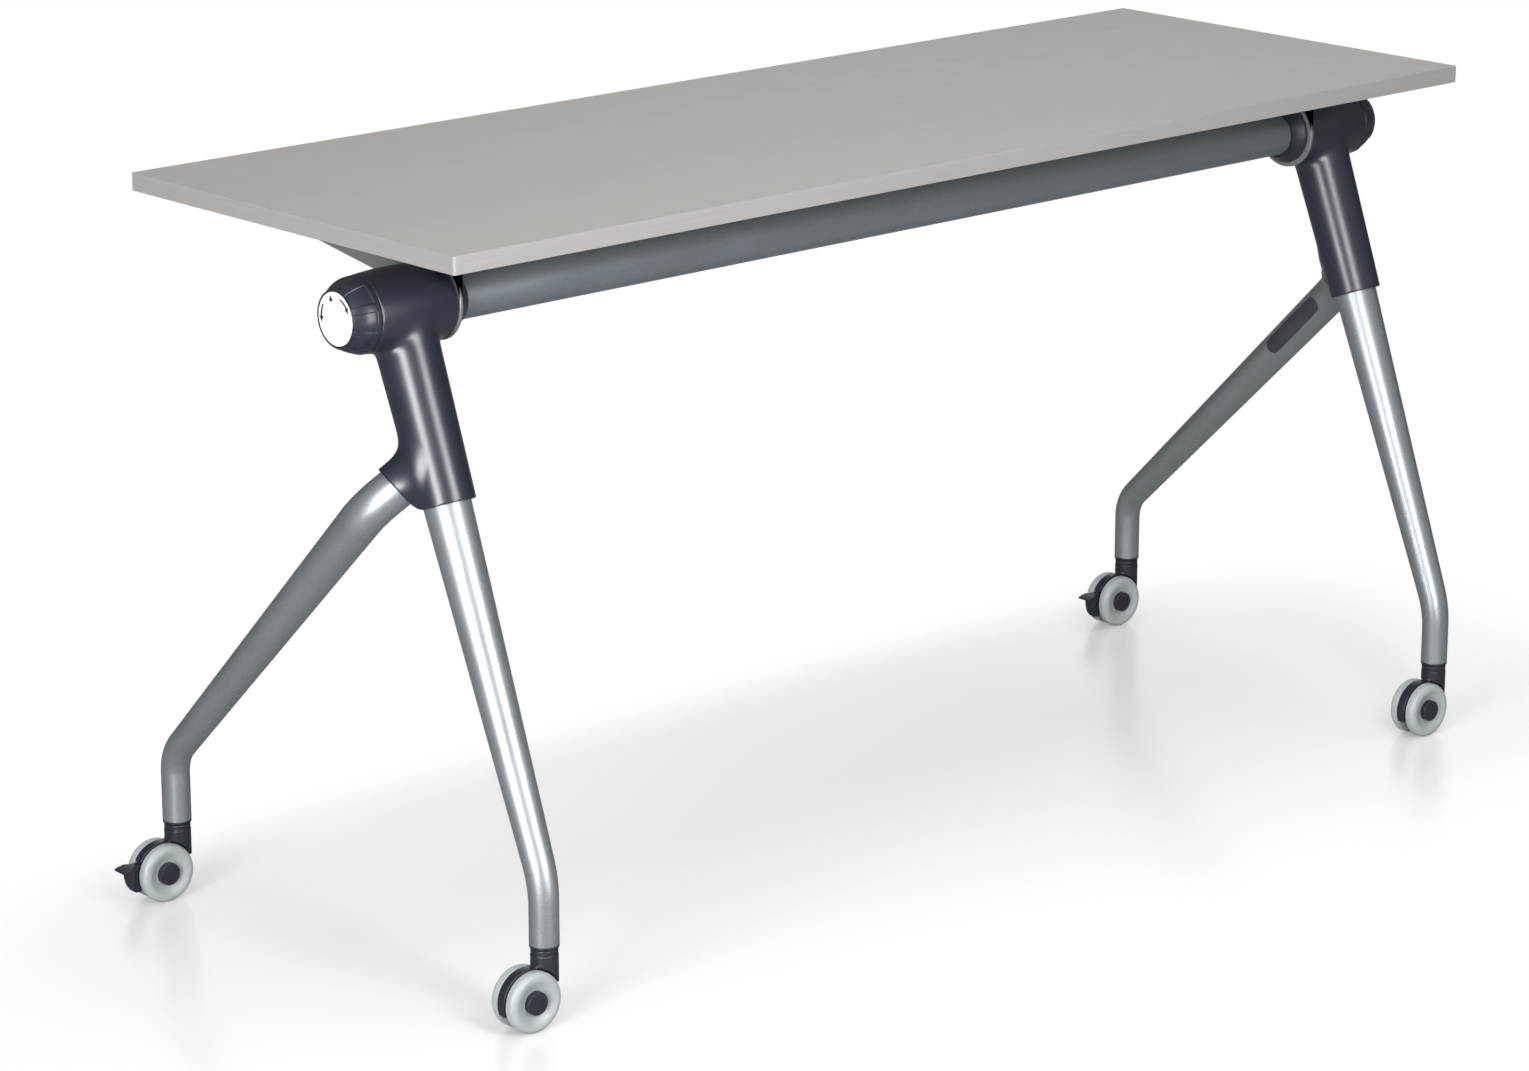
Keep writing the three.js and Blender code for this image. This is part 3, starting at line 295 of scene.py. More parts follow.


# %% [markdown]
# The colours below were judged against the photograph: a warm grey panel with a paler edge, silver
# legs, a darker grey beam, blue-black castings and pale grey wheels.

# %% The table's finishes
POWDER = {"flakes": 2200.0, "wide": 18.0, "fine": 700.0}
CAST = {"fine": 300.0, "Specular_IOR_Level": 0.9}
BOARD_GRAIN, BAND_GRAIN = {"stretch": (14, 1500, 700)}, {"stretch": (20, 20, 1800)}
SILVER, GREY, PALE = ({"Metallic": metallic, **POWDER} for metallic in (0.75, 0.6, 0.5))
ZINC = {"Metallic": 0.95}
COATS = {
    "laminate": ("grey laminate", (159, 155, 152), (165, 161, 158), (0.5, 0.54), 2e-5, BOARD_GRAIN),
    "edge_band": ("pale edge band", (157, 153, 151), (164, 161, 159), (0.45, 0.5), 2e-5, BAND_GRAIN),
    "silver_paint": ("silver powder coat", (150, 157, 162), (188, 194, 198), (0.36, 0.42), 3e-5, SILVER),
    "grey_paint": ("grey powder coat", (126, 134, 140), (152, 160, 166), (0.34, 0.42), 3e-5, GREY),
    "anthracite_casting": ("anthracite casting", (29, 34, 48), (35, 40, 54), (0.29, 0.32), 5e-6, CAST),
    "knob_plastic": ("knob plastic", (36, 40, 51), (42, 46, 57), (0.27, 0.33), 3e-5, {}),
    "white_plastic": ("white disc", (238, 238, 236), (244, 244, 243), (0.35, 0.42), 2e-5, {}),
    "dark_plastic": ("caster plastic", (32, 36, 45), (38, 42, 51), (0.33, 0.4), 4e-5, {}),
    "bearing_plastic": ("bush plastic", (196, 196, 190), (206, 206, 200), (0.4, 0.5), 3e-5, {}),
    "pad_rubber": ("pad rubber", (48, 50, 56), (58, 60, 66), (0.55, 0.7), 1e-4, {}),
    "pale_tread": ("pale tread", (163, 171, 173), (173, 181, 182), (0.36, 0.46), 4e-5, {}),
    "bright_steel": ("zinc plated steel", (176, 178, 182), (196, 198, 202), (0.25, 0.35), 2e-5, ZINC),
}
FINISH = {slot: coat(*values, **more) for slot, (*values, more) in COATS.items()}
ARM_FINISH = coat("pale powder coat", (133, 133, 135), (163, 163, 165), (0.34, 0.42), 3e-5, **PALE)
INK = coat("printed ink", (22, 22, 26), (32, 32, 36), (0.45, 0.55), 1e-5)
print("finishes:", len(FINISH) + 2)

# %% [markdown]
# ## Mesh helpers
# Almost every piece is a grid: one parameter runs round or along the piece, the other across it. The grid's
# points are worked out as one array, and the faces between them follow from the grid's size alone. A revolve
# is a grid whose columns turn about an axis; a sweep is a grid whose columns follow a path.

# %% Grids
def grid_faces(rows, columns, wrap_rows, wrap_columns):
    """Quads of a grid numbered row by row; a wrapped direction joins its last line to its first."""
    r = np.arange(rows if wrap_rows else rows - 1)[:, None]
    c = np.arange(columns if wrap_columns else columns - 1)[None, :]
    below, beside = (r + 1) % rows, (c + 1) % columns
    corners = [r * columns + c, r * columns + beside, below * columns + beside, below * columns + c]
    return np.stack([np.broadcast_to(k, (r.size, c.size)) for k in corners], axis=-1).reshape(-1, 4)


def mesh_of(name, points, faces):
    """Mesh from points in metres and quads, with doubles merged and faces turned outwards."""
    mesh = bpy.data.meshes.new(name)
    mesh.vertices.add(len(points))
    mesh.vertices.foreach_set("co", np.ascontiguousarray(points, dtype=np.float32).ravel())
    mesh.loops.add(faces.size)
    mesh.loops.foreach_set("vertex_index", np.ascontiguousarray(faces, dtype=np.int32).ravel())
    mesh.polygons.add(len(faces))
    mesh.polygons.foreach_set("loop_start", np.arange(0, faces.size, faces.shape[1], dtype=np.int32))
    mesh.update(calc_edges=True)
    shell = bmesh.new()
    shell.from_mesh(mesh)
    bmesh.ops.remove_doubles(shell, verts=shell.verts, dist=1e-6)
    bmesh.ops.dissolve_degenerate(shell, edges=shell.edges, dist=1e-7)
    bmesh.ops.recalc_face_normals(shell, faces=shell.faces)
    shell.to_mesh(mesh)
    shell.free()
    return mesh


def new_piece(name, shape, body, slot, stands_for=(), crease=35.0, material=None):
    """Object of a shape (points in millimetres from the panel's middle, faces), riding on a body."""
    points, faces = shape
    mesh = mesh_of(name, MIDDLE + points * MM, faces)
    mesh.materials.append(material or FINISH[slot])
    mesh.shade_smooth()
    mesh.set_sharp_from_angle(angle=np.radians(crease))
    piece = bpy.data.objects.new(name, mesh)
    bpy.context.scene.collection.objects.link(piece)
    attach(piece, body)
    if stands_for:
        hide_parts(*stands_for)
    return piece


def joined(*shapes):
    """Several shapes as one: points are stacked and each shape's faces are numbered on."""
    counts = np.cumsum([0] + [len(points) for points, _ in shapes])
    points = np.concatenate([points for points, _ in shapes])
    faces = np.concatenate([faces + start for (_, faces), start in zip(shapes, counts)])
    return points, faces


def moved(shape, offset):
    """The shape, moved."""
    points, faces = shape
    return points + np.asarray(offset), faces


def turned(shape, angle, plane=(0, 1)):
    """The shape, turned by an angle in the plane of two axes."""
    points, faces = shape[0].copy(), shape[1]
    a, b = shape[0][:, plane[0]], shape[0][:, plane[1]]
    cosine, sine = np.cos(angle), np.sin(angle)
    points[:, plane[0]], points[:, plane[1]] = cosine * a - sine * b, sine * a + cosine * b
    return points, faces


def unit(vector):
    """The vector at length one."""
    return vector / np.linalg.norm(vector)


# %% [markdown]
# A profile is a short list of corners. Real edges are never knife sharp, so each corner gets its own radius
# and is replaced by a short arc that touches both of its sides.

# %% Rounded profiles, revolves and sweeps
ARC_STEPS = 7


def rounded(corners, radii, closed=True):
    """Polyline with an arc of a radius at each corner, tangent to both sides; a radius of 0 keeps it."""
    corners = np.asarray(corners, dtype=float)
    count = len(corners)
    points = []
    for i in range(count):
        here, radius = corners[i], radii[i]
        before, after = corners[i - 1], corners[(i + 1) % count]
        if radius <= 0 or (not closed and i in (0, count - 1)):
            points.append(here[None, :])
            continue
        u, v = unit(before - here), unit(after - here)
        half = np.arccos(np.clip(u @ v, -1.0, 1.0)) / 2
        centre = here + unit(u + v) * radius / np.sin(half)
        start = here + u * radius / np.tan(half) - centre
        end = here + v * radius / np.tan(half) - centre
        sweep = np.pi - 2 * half
        t = np.linspace(0.0, 1.0, ARC_STEPS)[:, None]
        arc = (np.sin((1 - t) * sweep) * start + np.sin(t * sweep) * end) / np.sin(sweep)
        points.append(centre + arc)
    return np.concatenate(points)


def revolve(profile, sides, axis="x", closed=True):
    """Grid of a profile (radius, distance along the axis) turned about an axis through the origin."""
    profile = np.asarray(profile, dtype=float)
    angle = np.linspace(0.0, 2 * np.pi, sides, endpoint=False)[:, None]
    radius, along = profile[None, :, 0], profile[None, :, 1]
    a, b = radius * np.cos(angle), radius * np.sin(angle)
    along = np.broadcast_to(along, a.shape)
    order = {"x": (along, a, b), "y": (b, along, a), "z": (a, b, along)}[axis]
    points = np.stack(order, axis=-1).reshape(-1, 3)
    return points, grid_faces(sides, len(profile), True, closed)


def capped(rings, sides):
    """Closed shape of rings of equal size: a grid with a point at the middle of each end."""
    first, last = rings[0].mean(axis=0), rings[-1].mean(axis=0)
    ends = [np.broadcast_to(end, (1, sides, 3)) for end in (first, last)]
    points = np.concatenate([ends[0], rings, ends[1]])
    return points.reshape(-1, 3), grid_faces(len(points), sides, False, True)


# %% [markdown]
# ## The panel and its edge band
# The panel is a flat board with a strip of band glued to each edge. A plain box would do for the board, but
# its light catches on the softened edges, so it is a stack of rectangular rings whose outline shrinks by a
# quarter circle at the top and the bottom. Each strip is a rounded section carried along its edge and
# round half of the small arc at each corner, where it meets the next strip.

# %% Panel
TOP_LENGTH, TOP_DEPTH, TOP_THICKNESS = 1400.0, 500.0, 18.0
BAND_THICKNESS, BAND_ROUND, BAND_CORNER, BAND_GAP = 2.0, 0.7, 2.6, 0.05
PANEL_ROUND = 0.25


def slab(half_x, half_y, low, high, soft):
    """Rectangular rings from low to high; near each face they shrink as soft times one minus cosine."""
    turn = np.linspace(0.0, np.pi / 2, 4)
    shrink = np.concatenate([soft * (1 - np.cos(turn))[::-1], soft * (1 - np.cos(turn))])
    height = np.concatenate([low + soft * (1 - np.sin(turn))[::-1], high - soft * (1 - np.sin(turn))])
    signs = np.array([[-1, -1], [1, -1], [1, 1], [-1, 1]])
    halves = np.array([half_x, half_y]) - shrink[:, None]
    flat = halves[:, None, :] * signs[None, :, :]
    rings = np.concatenate([flat, np.broadcast_to(height[:, None, None], (len(height), 4, 1))], axis=2)
    return capped(rings, 4)


core_x = TOP_LENGTH / 2 - BAND_THICKNESS - BAND_GAP
core_y = TOP_DEPTH / 2 - BAND_THICKNESS - BAND_GAP
underside = TABLE_HEIGHT - TOP_THICKNESS
new_piece(
    "panel_board", slab(core_x, core_y, underside, TABLE_HEIGHT, PANEL_ROUND), "top", "laminate", ["table_top"]
)


# %% Edge band
def band_strip(half_length, half_depth, turn):
    """Rounded section across an edge, carried along it and round half of the arc at each corner."""
    corners = [(0, underside), (BAND_THICKNESS, underside), (BAND_THICKNESS, TABLE_HEIGHT), (0, TABLE_HEIGHT)]
    section = rounded(corners, [0, BAND_ROUND, BAND_ROUND, 0])
    reach = BAND_CORNER - BAND_THICKNESS + section[None, :, 0]
    quarter = np.linspace(0.0, np.pi / 4, 7)
    bend = np.concatenate([-quarter[::-1], quarter])[:, None]
    end = np.repeat([-1.0, 1.0], 7)[:, None]
    x = end * (half_length - BAND_CORNER) + reach * np.sin(bend)
    y = half_depth - BAND_CORNER + reach * np.cos(bend)
    rings = np.stack([x, y, np.broadcast_to(section[:, 1], x.shape)], axis=-1)
    return turned(capped(rings, len(section)), turn)


half_length, half_depth = TOP_LENGTH / 2, TOP_DEPTH / 2
EDGES = {
    "rear": (half_length, half_depth, 0.0),
    "left": (half_depth, half_length, np.pi / 2),
    "front": (half_length, half_depth, np.pi),
    "right": (half_depth, half_length, -np.pi / 2),
}
for edge, layout in EDGES.items():
    new_piece("band_" + edge, band_strip(*layout), "top", "edge_band", ["edge_band_" + edge])
print("panel and", len(EDGES), "strips of band")

# %% [markdown]
# ## The beam and its collars
# The beam is a round tube between the two castings, with a trumpet-shaped collar at each end. All are
# revolves about the flip axis. The right end is worked out once, with +X outwards, and the left end is the
# same grid with X turned round.

# %% Beam and collars
ROUND_SIDES = 96
BEAM_RADIUS, BEAM_END = 23.3, span_x("beam_tube")[1]
COLLAR_IN, COLLAR_OUT = span_x("beam_collar_right")
COLLAR_RADIUS, COLLAR_CURVE, JOURNAL_RADIUS = 33.5, 1.2, 15.3
SIDES = {"left": -1.0, "right": 1.0}


def at_end(shape, side):
    """A shape drawn from the flip axis with +X outwards, put at one end of the table."""
    points, faces = shape
    outwards = np.array([SIDES[side], 1.0, 1.0])
    return points * outwards + np.array([0.0, AXIS_Y, AXIS_Z]), faces


def both_ends(name, shape, body, slot, node=None, **options):
    """Pieces of one shape at both ends; braces in the body's name stand for the side."""
    for side in SIDES:
        stands_for = [node + side] if node else ()
        new_piece(name + side, at_end(shape, side), body.format(side), slot, stands_for, **options)


def beam_shape():
    """Tube profile with softened rims, turned about the flip axis."""
    wall = 2.0
    profile = [
        (BEAM_RADIUS - wall, -BEAM_END),
        (BEAM_RADIUS, -BEAM_END),
        (BEAM_RADIUS, BEAM_END),
        (BEAM_RADIUS - wall, BEAM_END),
    ]
    return revolve(rounded(profile, [0.4] * 4), ROUND_SIDES)


def collar_shape():
    """Radius grows from the small end's to the rim's, slowly at first, as a power of the way along."""
    t = np.linspace(0.0, 1.0, 14)
    small, edge = BEAM_RADIUS + 3.0, COLLAR_OUT - 2.6
    radius = small + (COLLAR_RADIUS - small) * t**COLLAR_CURVE
    flare = np.stack([radius, COLLAR_IN + (edge - COLLAR_IN) * t], axis=1)
    rim = rounded([flare[-1], (COLLAR_RADIUS, COLLAR_OUT), (JOURNAL_RADIUS, COLLAR_OUT)], [0, 0.8, 0], False)
    return revolve(np.concatenate([[(JOURNAL_RADIUS, COLLAR_IN)], flare, rim[1:]]), ROUND_SIDES)


new_piece("beam", at_end(beam_shape(), "right"), "top", "grey_paint", ["beam_tube"])
both_ends("collar_", collar_shape(), "top", "dark_plastic", "beam_collar_")
print("beam and collars")

# %% [markdown]
# ## Surfaces from distances
# The castings flow from barrel to column to branch with no edge between them. Such a form is easiest to
# write as a distance: how far a point is from a barrel, from a column, and a smooth minimum of the two. The
# surface is where the distance is zero. A net finds it: every cell of a fine lattice whose corners lie on
# both sides gets a point, each crossed lattice edge gets a face between its four cells, and a few Newton
# steps then pull the points exactly onto the surface.

# %% Distances
def smooth_min(a, b, reach):
    """Smaller of two distances, less a cubic of how far they come within reach of each other."""
    h = np.clip(1 - np.abs(a - b) / reach, 0.0, 1.0)
    return np.minimum(a, b) - h**3 * reach / 6


def smooth_max(a, b, reach):
    """Larger of two distances, rounded in the same way."""
    return -smooth_min(-a, -b, reach)


def soft_step(value, edge, width):
    """Smooth rise from 0 to 1 over a width about an edge."""
    t = np.clip((value - edge) / width + 0.5, 0.0, 1.0)
    return t * t * (3 - 2 * t)


def along_and_off(p, start, direction):
    """Distance along a line and off it, for each point."""
    q = p - start
    along = q @ direction
    return along, np.sqrt(np.maximum((q * q).sum(axis=1) - along * along, 0.0))


def outline_distance(x, y, corners):
    """Signed distance to a closed outline: nearest side, negative where a ray crosses an odd number."""
    nearest = np.full(x.shape, np.inf)
    inside = np.zeros(x.shape, dtype=bool)
    for (ax, ay), (bx, by) in zip(corners, np.roll(corners, -1, axis=0)):
        ex, ey = bx - ax, by - ay
        t = np.clip(((x - ax) * ex + (y - ay) * ey) / (ex * ex + ey * ey), 0.0, 1.0)
        nearest = np.minimum(nearest, np.hypot(x - ax - t * ex, y - ay - t * ey))
        if ey != 0.0:
            spans = (ay > y) != (by > y)
            inside ^= spans & (x < ax + (y - ay) * ex / ey)
    return np.where(inside, -nearest, nearest)


# %% Surface net
def pulled_on(distance, points, steps=4, probe=0.02):
    """Newton steps: each point moves along the distance's gradient by the distance over its length."""
    for _ in range(steps):
        here = distance(points)
        offsets = np.eye(3) * probe
        slope = np.stack([distance(points + o) - distance(points - o) for o in offsets], axis=1) / (2 * probe)
        length = np.maximum((slope * slope).sum(axis=1), 0.2)
        points = points - slope * (here / length)[:, None]
    return points


def surface_net(distance, low, high, step):
    """Closed quad surface where the distance is zero, inside a box, on a lattice of a step."""
    axes = [np.arange(a - 2 * step, b + 3 * step, step) for a, b in zip(low, high)]
    shape = tuple(len(a) for a in axes)
    values = np.empty(shape)
    plane = np.stack(np.meshgrid(axes[1], axes[2], indexing="ij"), axis=-1).reshape(-1, 2)
    for i, x in enumerate(axes[0]):
        sheet = np.column_stack([np.full(len(plane), x), plane])
        values[i] = distance(sheet).reshape(shape[1:])
    inside = values < 0
    cells = tuple(n - 1 for n in shape)
    count = np.zeros(cells, dtype=int)
    total = np.zeros(cells + (3,))
    crossings = np.zeros(cells)
    pick = lambda a, i, j, k: a[i : i + cells[0], j : j + cells[1], k : k + cells[2]]
    corners = [(i, j, k) for i in (0, 1) for j in (0, 1) for k in (0, 1)]
    for corner in corners:
        count += pick(inside, *corner)
    for corner in corners:
        for axis in range(3):
            if corner[axis]:
                continue
            other = tuple(c + (n == axis) for n, c in enumerate(corner))
            a, b = pick(values, *corner), pick(values, *other)
            crossed = (a < 0) != (b < 0)
            t = np.where(crossed, a / np.where(crossed, a - b, 1.0), 0.0)
            for n in range(3):
                total[..., n] += crossed * (corner[n] + (t if n == axis else 0.0))
            crossings += crossed
    active = (count > 0) & (count < 8)
    number = np.full(cells, -1)
    number[active] = np.arange(active.sum())
    base = np.stack([a[:n][i] for a, n, i in zip(axes, cells, np.nonzero(active))], axis=1)
    points = base + step * total[active] / crossings[active][:, None]
    quads = []
    for axis in range(3):
        u, v = (axis + 1) % 3, (axis + 2) % 3
        whole = [slice(1, n) for n in cells]
        whole[axis] = slice(0, cells[axis])
        ahead = list(whole)
        ahead[axis] = slice(1, cells[axis] + 1)
        crossed = inside[tuple(whole)] != inside[tuple(ahead)]
        at = np.stack(np.nonzero(crossed), axis=1) + [s.start for s in whole]
        step_u, step_v = np.eye(3, dtype=int)[u], np.eye(3, dtype=int)[v]
        around = [at - step_u - step_v, at - step_v, at, at - step_u]
        quads.append(np.stack([number[tuple(c.T)] for c in around], axis=1))
    return pulled_on(distance, points), np.concatenate(quads)


# %% [markdown]
# ## The head castings
# Each head is a barrel on the flip axis, a column that leans forward and down to the front leg, and a branch
# for the rear leg. The three distances are joined with wide fillets, rounded off at the rims, and hollowed
# where the legs, the bush and the lock go in.

# %% Head sizes
FRAME_X, LEAN = 645.0, np.radians(21.4)
HEAD_IN, SPIGOT_END = span_x("head_right")[0], 697.5
HEAD_OUT = SPIGOT_END - 7.0
BARREL_IN_RADIUS, BARREL_OUT_RADIUS, BARREL_SWELL = 37.0, 37.2, 2.6
COLUMN_TOP_RADIUS, COLUMN_RIM_RADIUS, COLUMN_LENGTH = 31.4, 27.8, 190.0
BRANCH_DOWN, BRANCH_LENGTH, BRANCH_RIM_RADIUS, BRANCH_FLARE = 143.0, 49.0, 23.8, 3.0
FRONT_TOP_RADIUS, REAR_TOP_RADIUS, FOOT_RADIUS = 23.4, 20.5, 14.5
REAR_TOP = np.array([FRAME_X + 45.6, -9.3, -185.5])
BUSH_IN, BUSH_END = span_x("head_bush_right")
BUSH_FLANGE_RADIUS, BUSH_RADIUS, BUSH_FLANGE = 25.0, 19.3, 2.4
WALL_IN = BUSH_END + 33.6
WALL_OUT, SPIGOT_RADIUS, SPIGOT_BORE = WALL_IN + 6.0, 27.0, 23.0
STEM_HOLE = 6.3
column_down = np.array([0.0, -np.sin(LEAN), -np.cos(LEAN)])
column_top = np.array([FRAME_X, 0.0, 0.0])
branch_root = column_top + BRANCH_DOWN * column_down
branch_out = unit(REAR_TOP - branch_root)
RIM_TILT = np.array([0.12, -0.2, 0.0])
rim_normal = unit(branch_out + RIM_TILT)
rim_reach = BRANCH_LENGTH * (branch_out @ rim_normal)
aside = unit(branch_out - (branch_out @ column_down) * column_down)
BARREL_FILLET, CROTCH_FILLET, SIDE_FILLET, RIM_BLEND, END_ROUND = 12.0, 3.0, 17.0, 14.0, 2.4
LEG_SOCKET = 22.0


def head_distance(p):
    """Smooth union of barrel, column and branch, less the sockets and bores."""
    x, off_axis = p[:, 0], np.hypot(p[:, 1], p[:, 2])
    t = np.clip((x - HEAD_IN) / (HEAD_OUT - HEAD_IN), 0.0, 1.0)
    radius = BARREL_IN_RADIUS + (BARREL_OUT_RADIUS - BARREL_IN_RADIUS) * t + 4 * BARREL_SWELL * t * (1 - t)
    barrel = off_axis - radius

    down, off_column = along_and_off(p, column_top, column_down)
    share = np.clip(down / COLUMN_LENGTH, 0.0, 1.0)
    column = off_column - (COLUMN_TOP_RADIUS + (COLUMN_RIM_RADIUS - COLUMN_TOP_RADIUS) * share)
    column = np.maximum(column, -down)

    out, off_branch = along_and_off(p, branch_root, branch_out)
    share = np.clip(out / BRANCH_LENGTH, 0.0, 1.0)
    branch = off_branch - (BRANCH_RIM_RADIUS + BRANCH_FLARE * (1 - share) ** 2)
    branch = np.maximum(branch, -out)

    fillet = CROTCH_FILLET + SIDE_FILLET * soft_step((p - branch_root) @ aside, 8.0, 20.0)
    body = smooth_min(smooth_min(barrel, column, BARREL_FILLET), branch, fillet)
    rims = smooth_max(down - COLUMN_LENGTH, (p - branch_root) @ rim_normal - rim_reach, RIM_BLEND)
    for end in (x - HEAD_OUT, HEAD_IN - x, rims):
        body = smooth_max(body, end, END_ROUND)
    spigot = np.maximum(off_axis - SPIGOT_RADIUS, np.maximum(HEAD_OUT - 5 - x, x - SPIGOT_END))
    body = np.minimum(body, spigot)

    sockets = np.maximum(off_column - FRONT_TOP_RADIUS - SEAT, COLUMN_LENGTH - LEG_SOCKET - down)
    rear = np.maximum(off_branch - REAR_TOP_RADIUS - SEAT, BRANCH_LENGTH - LEG_SOCKET / 3 - out)
    bush = np.maximum(off_axis - BUSH_RADIUS - SEAT, x - WALL_IN)
    flange = np.maximum(off_axis - BUSH_FLANGE_RADIUS - SEAT, x - BUSH_IN - BUSH_FLANGE - SEAT)
    square = np.maximum(np.abs(p[:, 1]), np.abs(p[:, 2])) - STEM_HOLE
    square = np.maximum(square, np.abs(x - (WALL_IN + WALL_OUT) / 2) - 6.0)
    knob_room = np.maximum(off_axis - SPIGOT_BORE, WALL_OUT - x)
    for hollow in (sockets, rear, bush, flange, square, knob_room):
        body = np.maximum(body, -hollow)
    return body


HEAD_LOW, HEAD_HIGH = (598.0, -102.0, -192.0), (702.0, 40.0, 40.0)
head_net = surface_net(head_distance, HEAD_LOW, HEAD_HIGH, 1.0)
both_ends("casting_", head_net, "leg_frame", "anthracite_casting", "head_", crease=40.0)
print("casting faces:", len(head_net[1]))

# %% [markdown]
# ## Bush and support arms
# A pale bush shows as a thin ring at the casting's inner end. Beside it sits the arm that carries the panel:
# a plate with a round hub, a long tail, a short nose and a flange screwed to the board. The plate's outline
# is drawn once with lines and arcs, and its edge is carried round that outline with a small chamfer.

# %% Bush
def bush_shape():
    """Flanged sleeve as a closed profile turned about the flip axis."""
    inner, flange_end, end = JOURNAL_RADIUS, BUSH_IN + BUSH_FLANGE, BUSH_END
    corners = [
        (inner, BUSH_IN),
        (BUSH_FLANGE_RADIUS, BUSH_IN),
        (BUSH_FLANGE_RADIUS, flange_end),
        (BUSH_RADIUS, flange_end),
        (BUSH_RADIUS, end),
        (inner, end),
    ]
    return revolve(rounded(corners, [0.3, 0.3, 0.3, 0, 0.3, 0.3]), ROUND_SIDES)


both_ends("bush_", bush_shape(), "leg_frame", "bearing_plastic", "head_bush_")

# %% Support arms
ARM_OUT, ARM_HUB_RADIUS = span_x("support_arm_right")[1], 38.5
ARM_IN = ARM_OUT - 3.6
ARM_TAIL, ARM_TAIL_DEPTH, ARM_NOSE, ARM_NOSE_DEPTH = 292.0, 19.0, 88.0, 13.0
ARM_NOSE_ANGLE, ARM_ROOT_RISE, ARM_FILLET = np.radians(115.0), 5.0, 14.0
FLANGE_WIDTH, FLANGE_THICKNESS, SCREW_RADIUS = 30.0, 4.0, 5.0
ARM_SEAT = underside - AXIS_Z - SEAT


def arm_outline():
    """Outline in (y, z) from the flip axis: tail, seat, nose, hub arc and a curve back into the tail."""
    tail_z, nose_z = ARM_SEAT - ARM_TAIL_DEPTH, ARM_SEAT - ARM_NOSE_DEPTH
    rise = np.arcsin(ARM_ROOT_RISE / ARM_HUB_RADIUS)
    root_y = ARM_HUB_RADIUS * np.cos(rise)
    slope = (tail_z - ARM_ROOT_RISE) / (ARM_TAIL - root_y)
    angle = np.linspace(ARM_NOSE_ANGLE, 2 * np.pi + rise - ARM_FILLET / ARM_HUB_RADIUS, 72)
    hub = ARM_HUB_RADIUS * np.stack([np.cos(angle), np.sin(angle)], axis=1)
    t = np.linspace(0.0, 1.0, 12)[1:, None]
    root = np.array([root_y, ARM_ROOT_RISE])
    end = root + ARM_FILLET * np.array([1.0, slope])
    curve = (1 - t) ** 2 * hub[-1] + 2 * t * (1 - t) * root + t**2 * end
    straight = [(ARM_TAIL, tail_z), (ARM_TAIL, ARM_SEAT), (-ARM_NOSE, ARM_SEAT), (-ARM_NOSE, nose_z)]
    return np.concatenate([rounded(straight, [4, 2, 2, 4]), hub, curve])


def plate(outline, low, high, chamfer):
    """Outline in (y, z) between two X stations: rings pulled in at both faces, closed by a fan each."""
    ahead, behind = np.roll(outline, -1, axis=0), np.roll(outline, 1, axis=0)
    tangent = (ahead - behind) / np.linalg.norm(ahead - behind, axis=1)[:, None]
    inward = np.stack([-tangent[:, 1], tangent[:, 0]], axis=1)
    turn = np.linspace(0.0, np.pi / 2, 4)
    pull = chamfer * np.concatenate([(1 - np.sin(turn)), (1 - np.sin(turn))[::-1]])
    x = np.concatenate([low + chamfer * (1 - np.cos(turn)), (high - chamfer * (1 - np.cos(turn)))[::-1]])
    flat = outline[None] + pull[:, None, None] * inward[None]
    return np.concatenate([np.broadcast_to(x[:, None, None], flat.shape[:2] + (1,)), flat], axis=2)


def arm_plate():
    """Arm plate as rings, each face closed along a line under its seat."""
    rings = plate(arm_outline(), ARM_IN, ARM_OUT, 0.8)
    inner = rings[[0, -1]].copy()
    inner[:, :, 1] = np.clip(rings[0][:, 1], -ARM_NOSE + 10.0, ARM_TAIL - 10.0)
    inner[:, :, 2] = ARM_SEAT - 8.0
    points = np.concatenate([inner[:1], rings, inner[1:]])
    return points.reshape(-1, 3), grid_faces(len(points), rings.shape[1], False, True)


def flange_plate():
    """Flat strip under the board, from the arm plate inwards."""
    width = FLANGE_WIDTH - (ARM_OUT - ARM_IN)
    strip = slab(width / 2, (ARM_TAIL + ARM_NOSE) / 2, ARM_SEAT - FLANGE_THICKNESS, ARM_SEAT, 0.6)
    return moved(strip, (ARM_IN - width / 2 + 0.4, (ARM_TAIL - ARM_NOSE) / 2, 0.0))


def screw_head():
    """Low domed head with a round recess, turned about Z, crown downwards."""
    profile = [(0, 0.6), (1.8, 0.6), (2.0, -1.4), (4.0, -1.2), (SCREW_RADIUS, 0.0), (SCREW_RADIUS, 0.5)]
    return revolve(rounded(profile, [0, 0.3, 0.2, 1.2, 0.2, 0], False), 32, "z", False)


SCREW_PLACES = (-60.0, 60.0, 150.0, 250.0)
SCREW_SEAT = np.array([ARM_IN - 13.0, 0.0, ARM_SEAT - FLANGE_THICKNESS - 0.4])
arm = joined(arm_plate(), flange_plate())
both_ends("arm_", arm, "top", "grey_paint", "support_arm_", material=ARM_FINISH)
heads = [moved(screw_head(), SCREW_SEAT + (0.0, y, 0.0)) for y in SCREW_PLACES]
both_ends("arm_screws_", joined(*heads), "top", "bright_steel")
print("bushes, arms and", 2 * len(SCREW_PLACES), "screws")

# %% [markdown]
# ## The lock knobs
# A knob crowns the casting's outer end. Its profile falls from the casting's radius to the face, and eight
# shallow panels are sunk into its side for the fingers. The panels are part of the same grid: the radius is
# lowered where both the angle and the distance along the knob are inside a panel, with soft steps between.

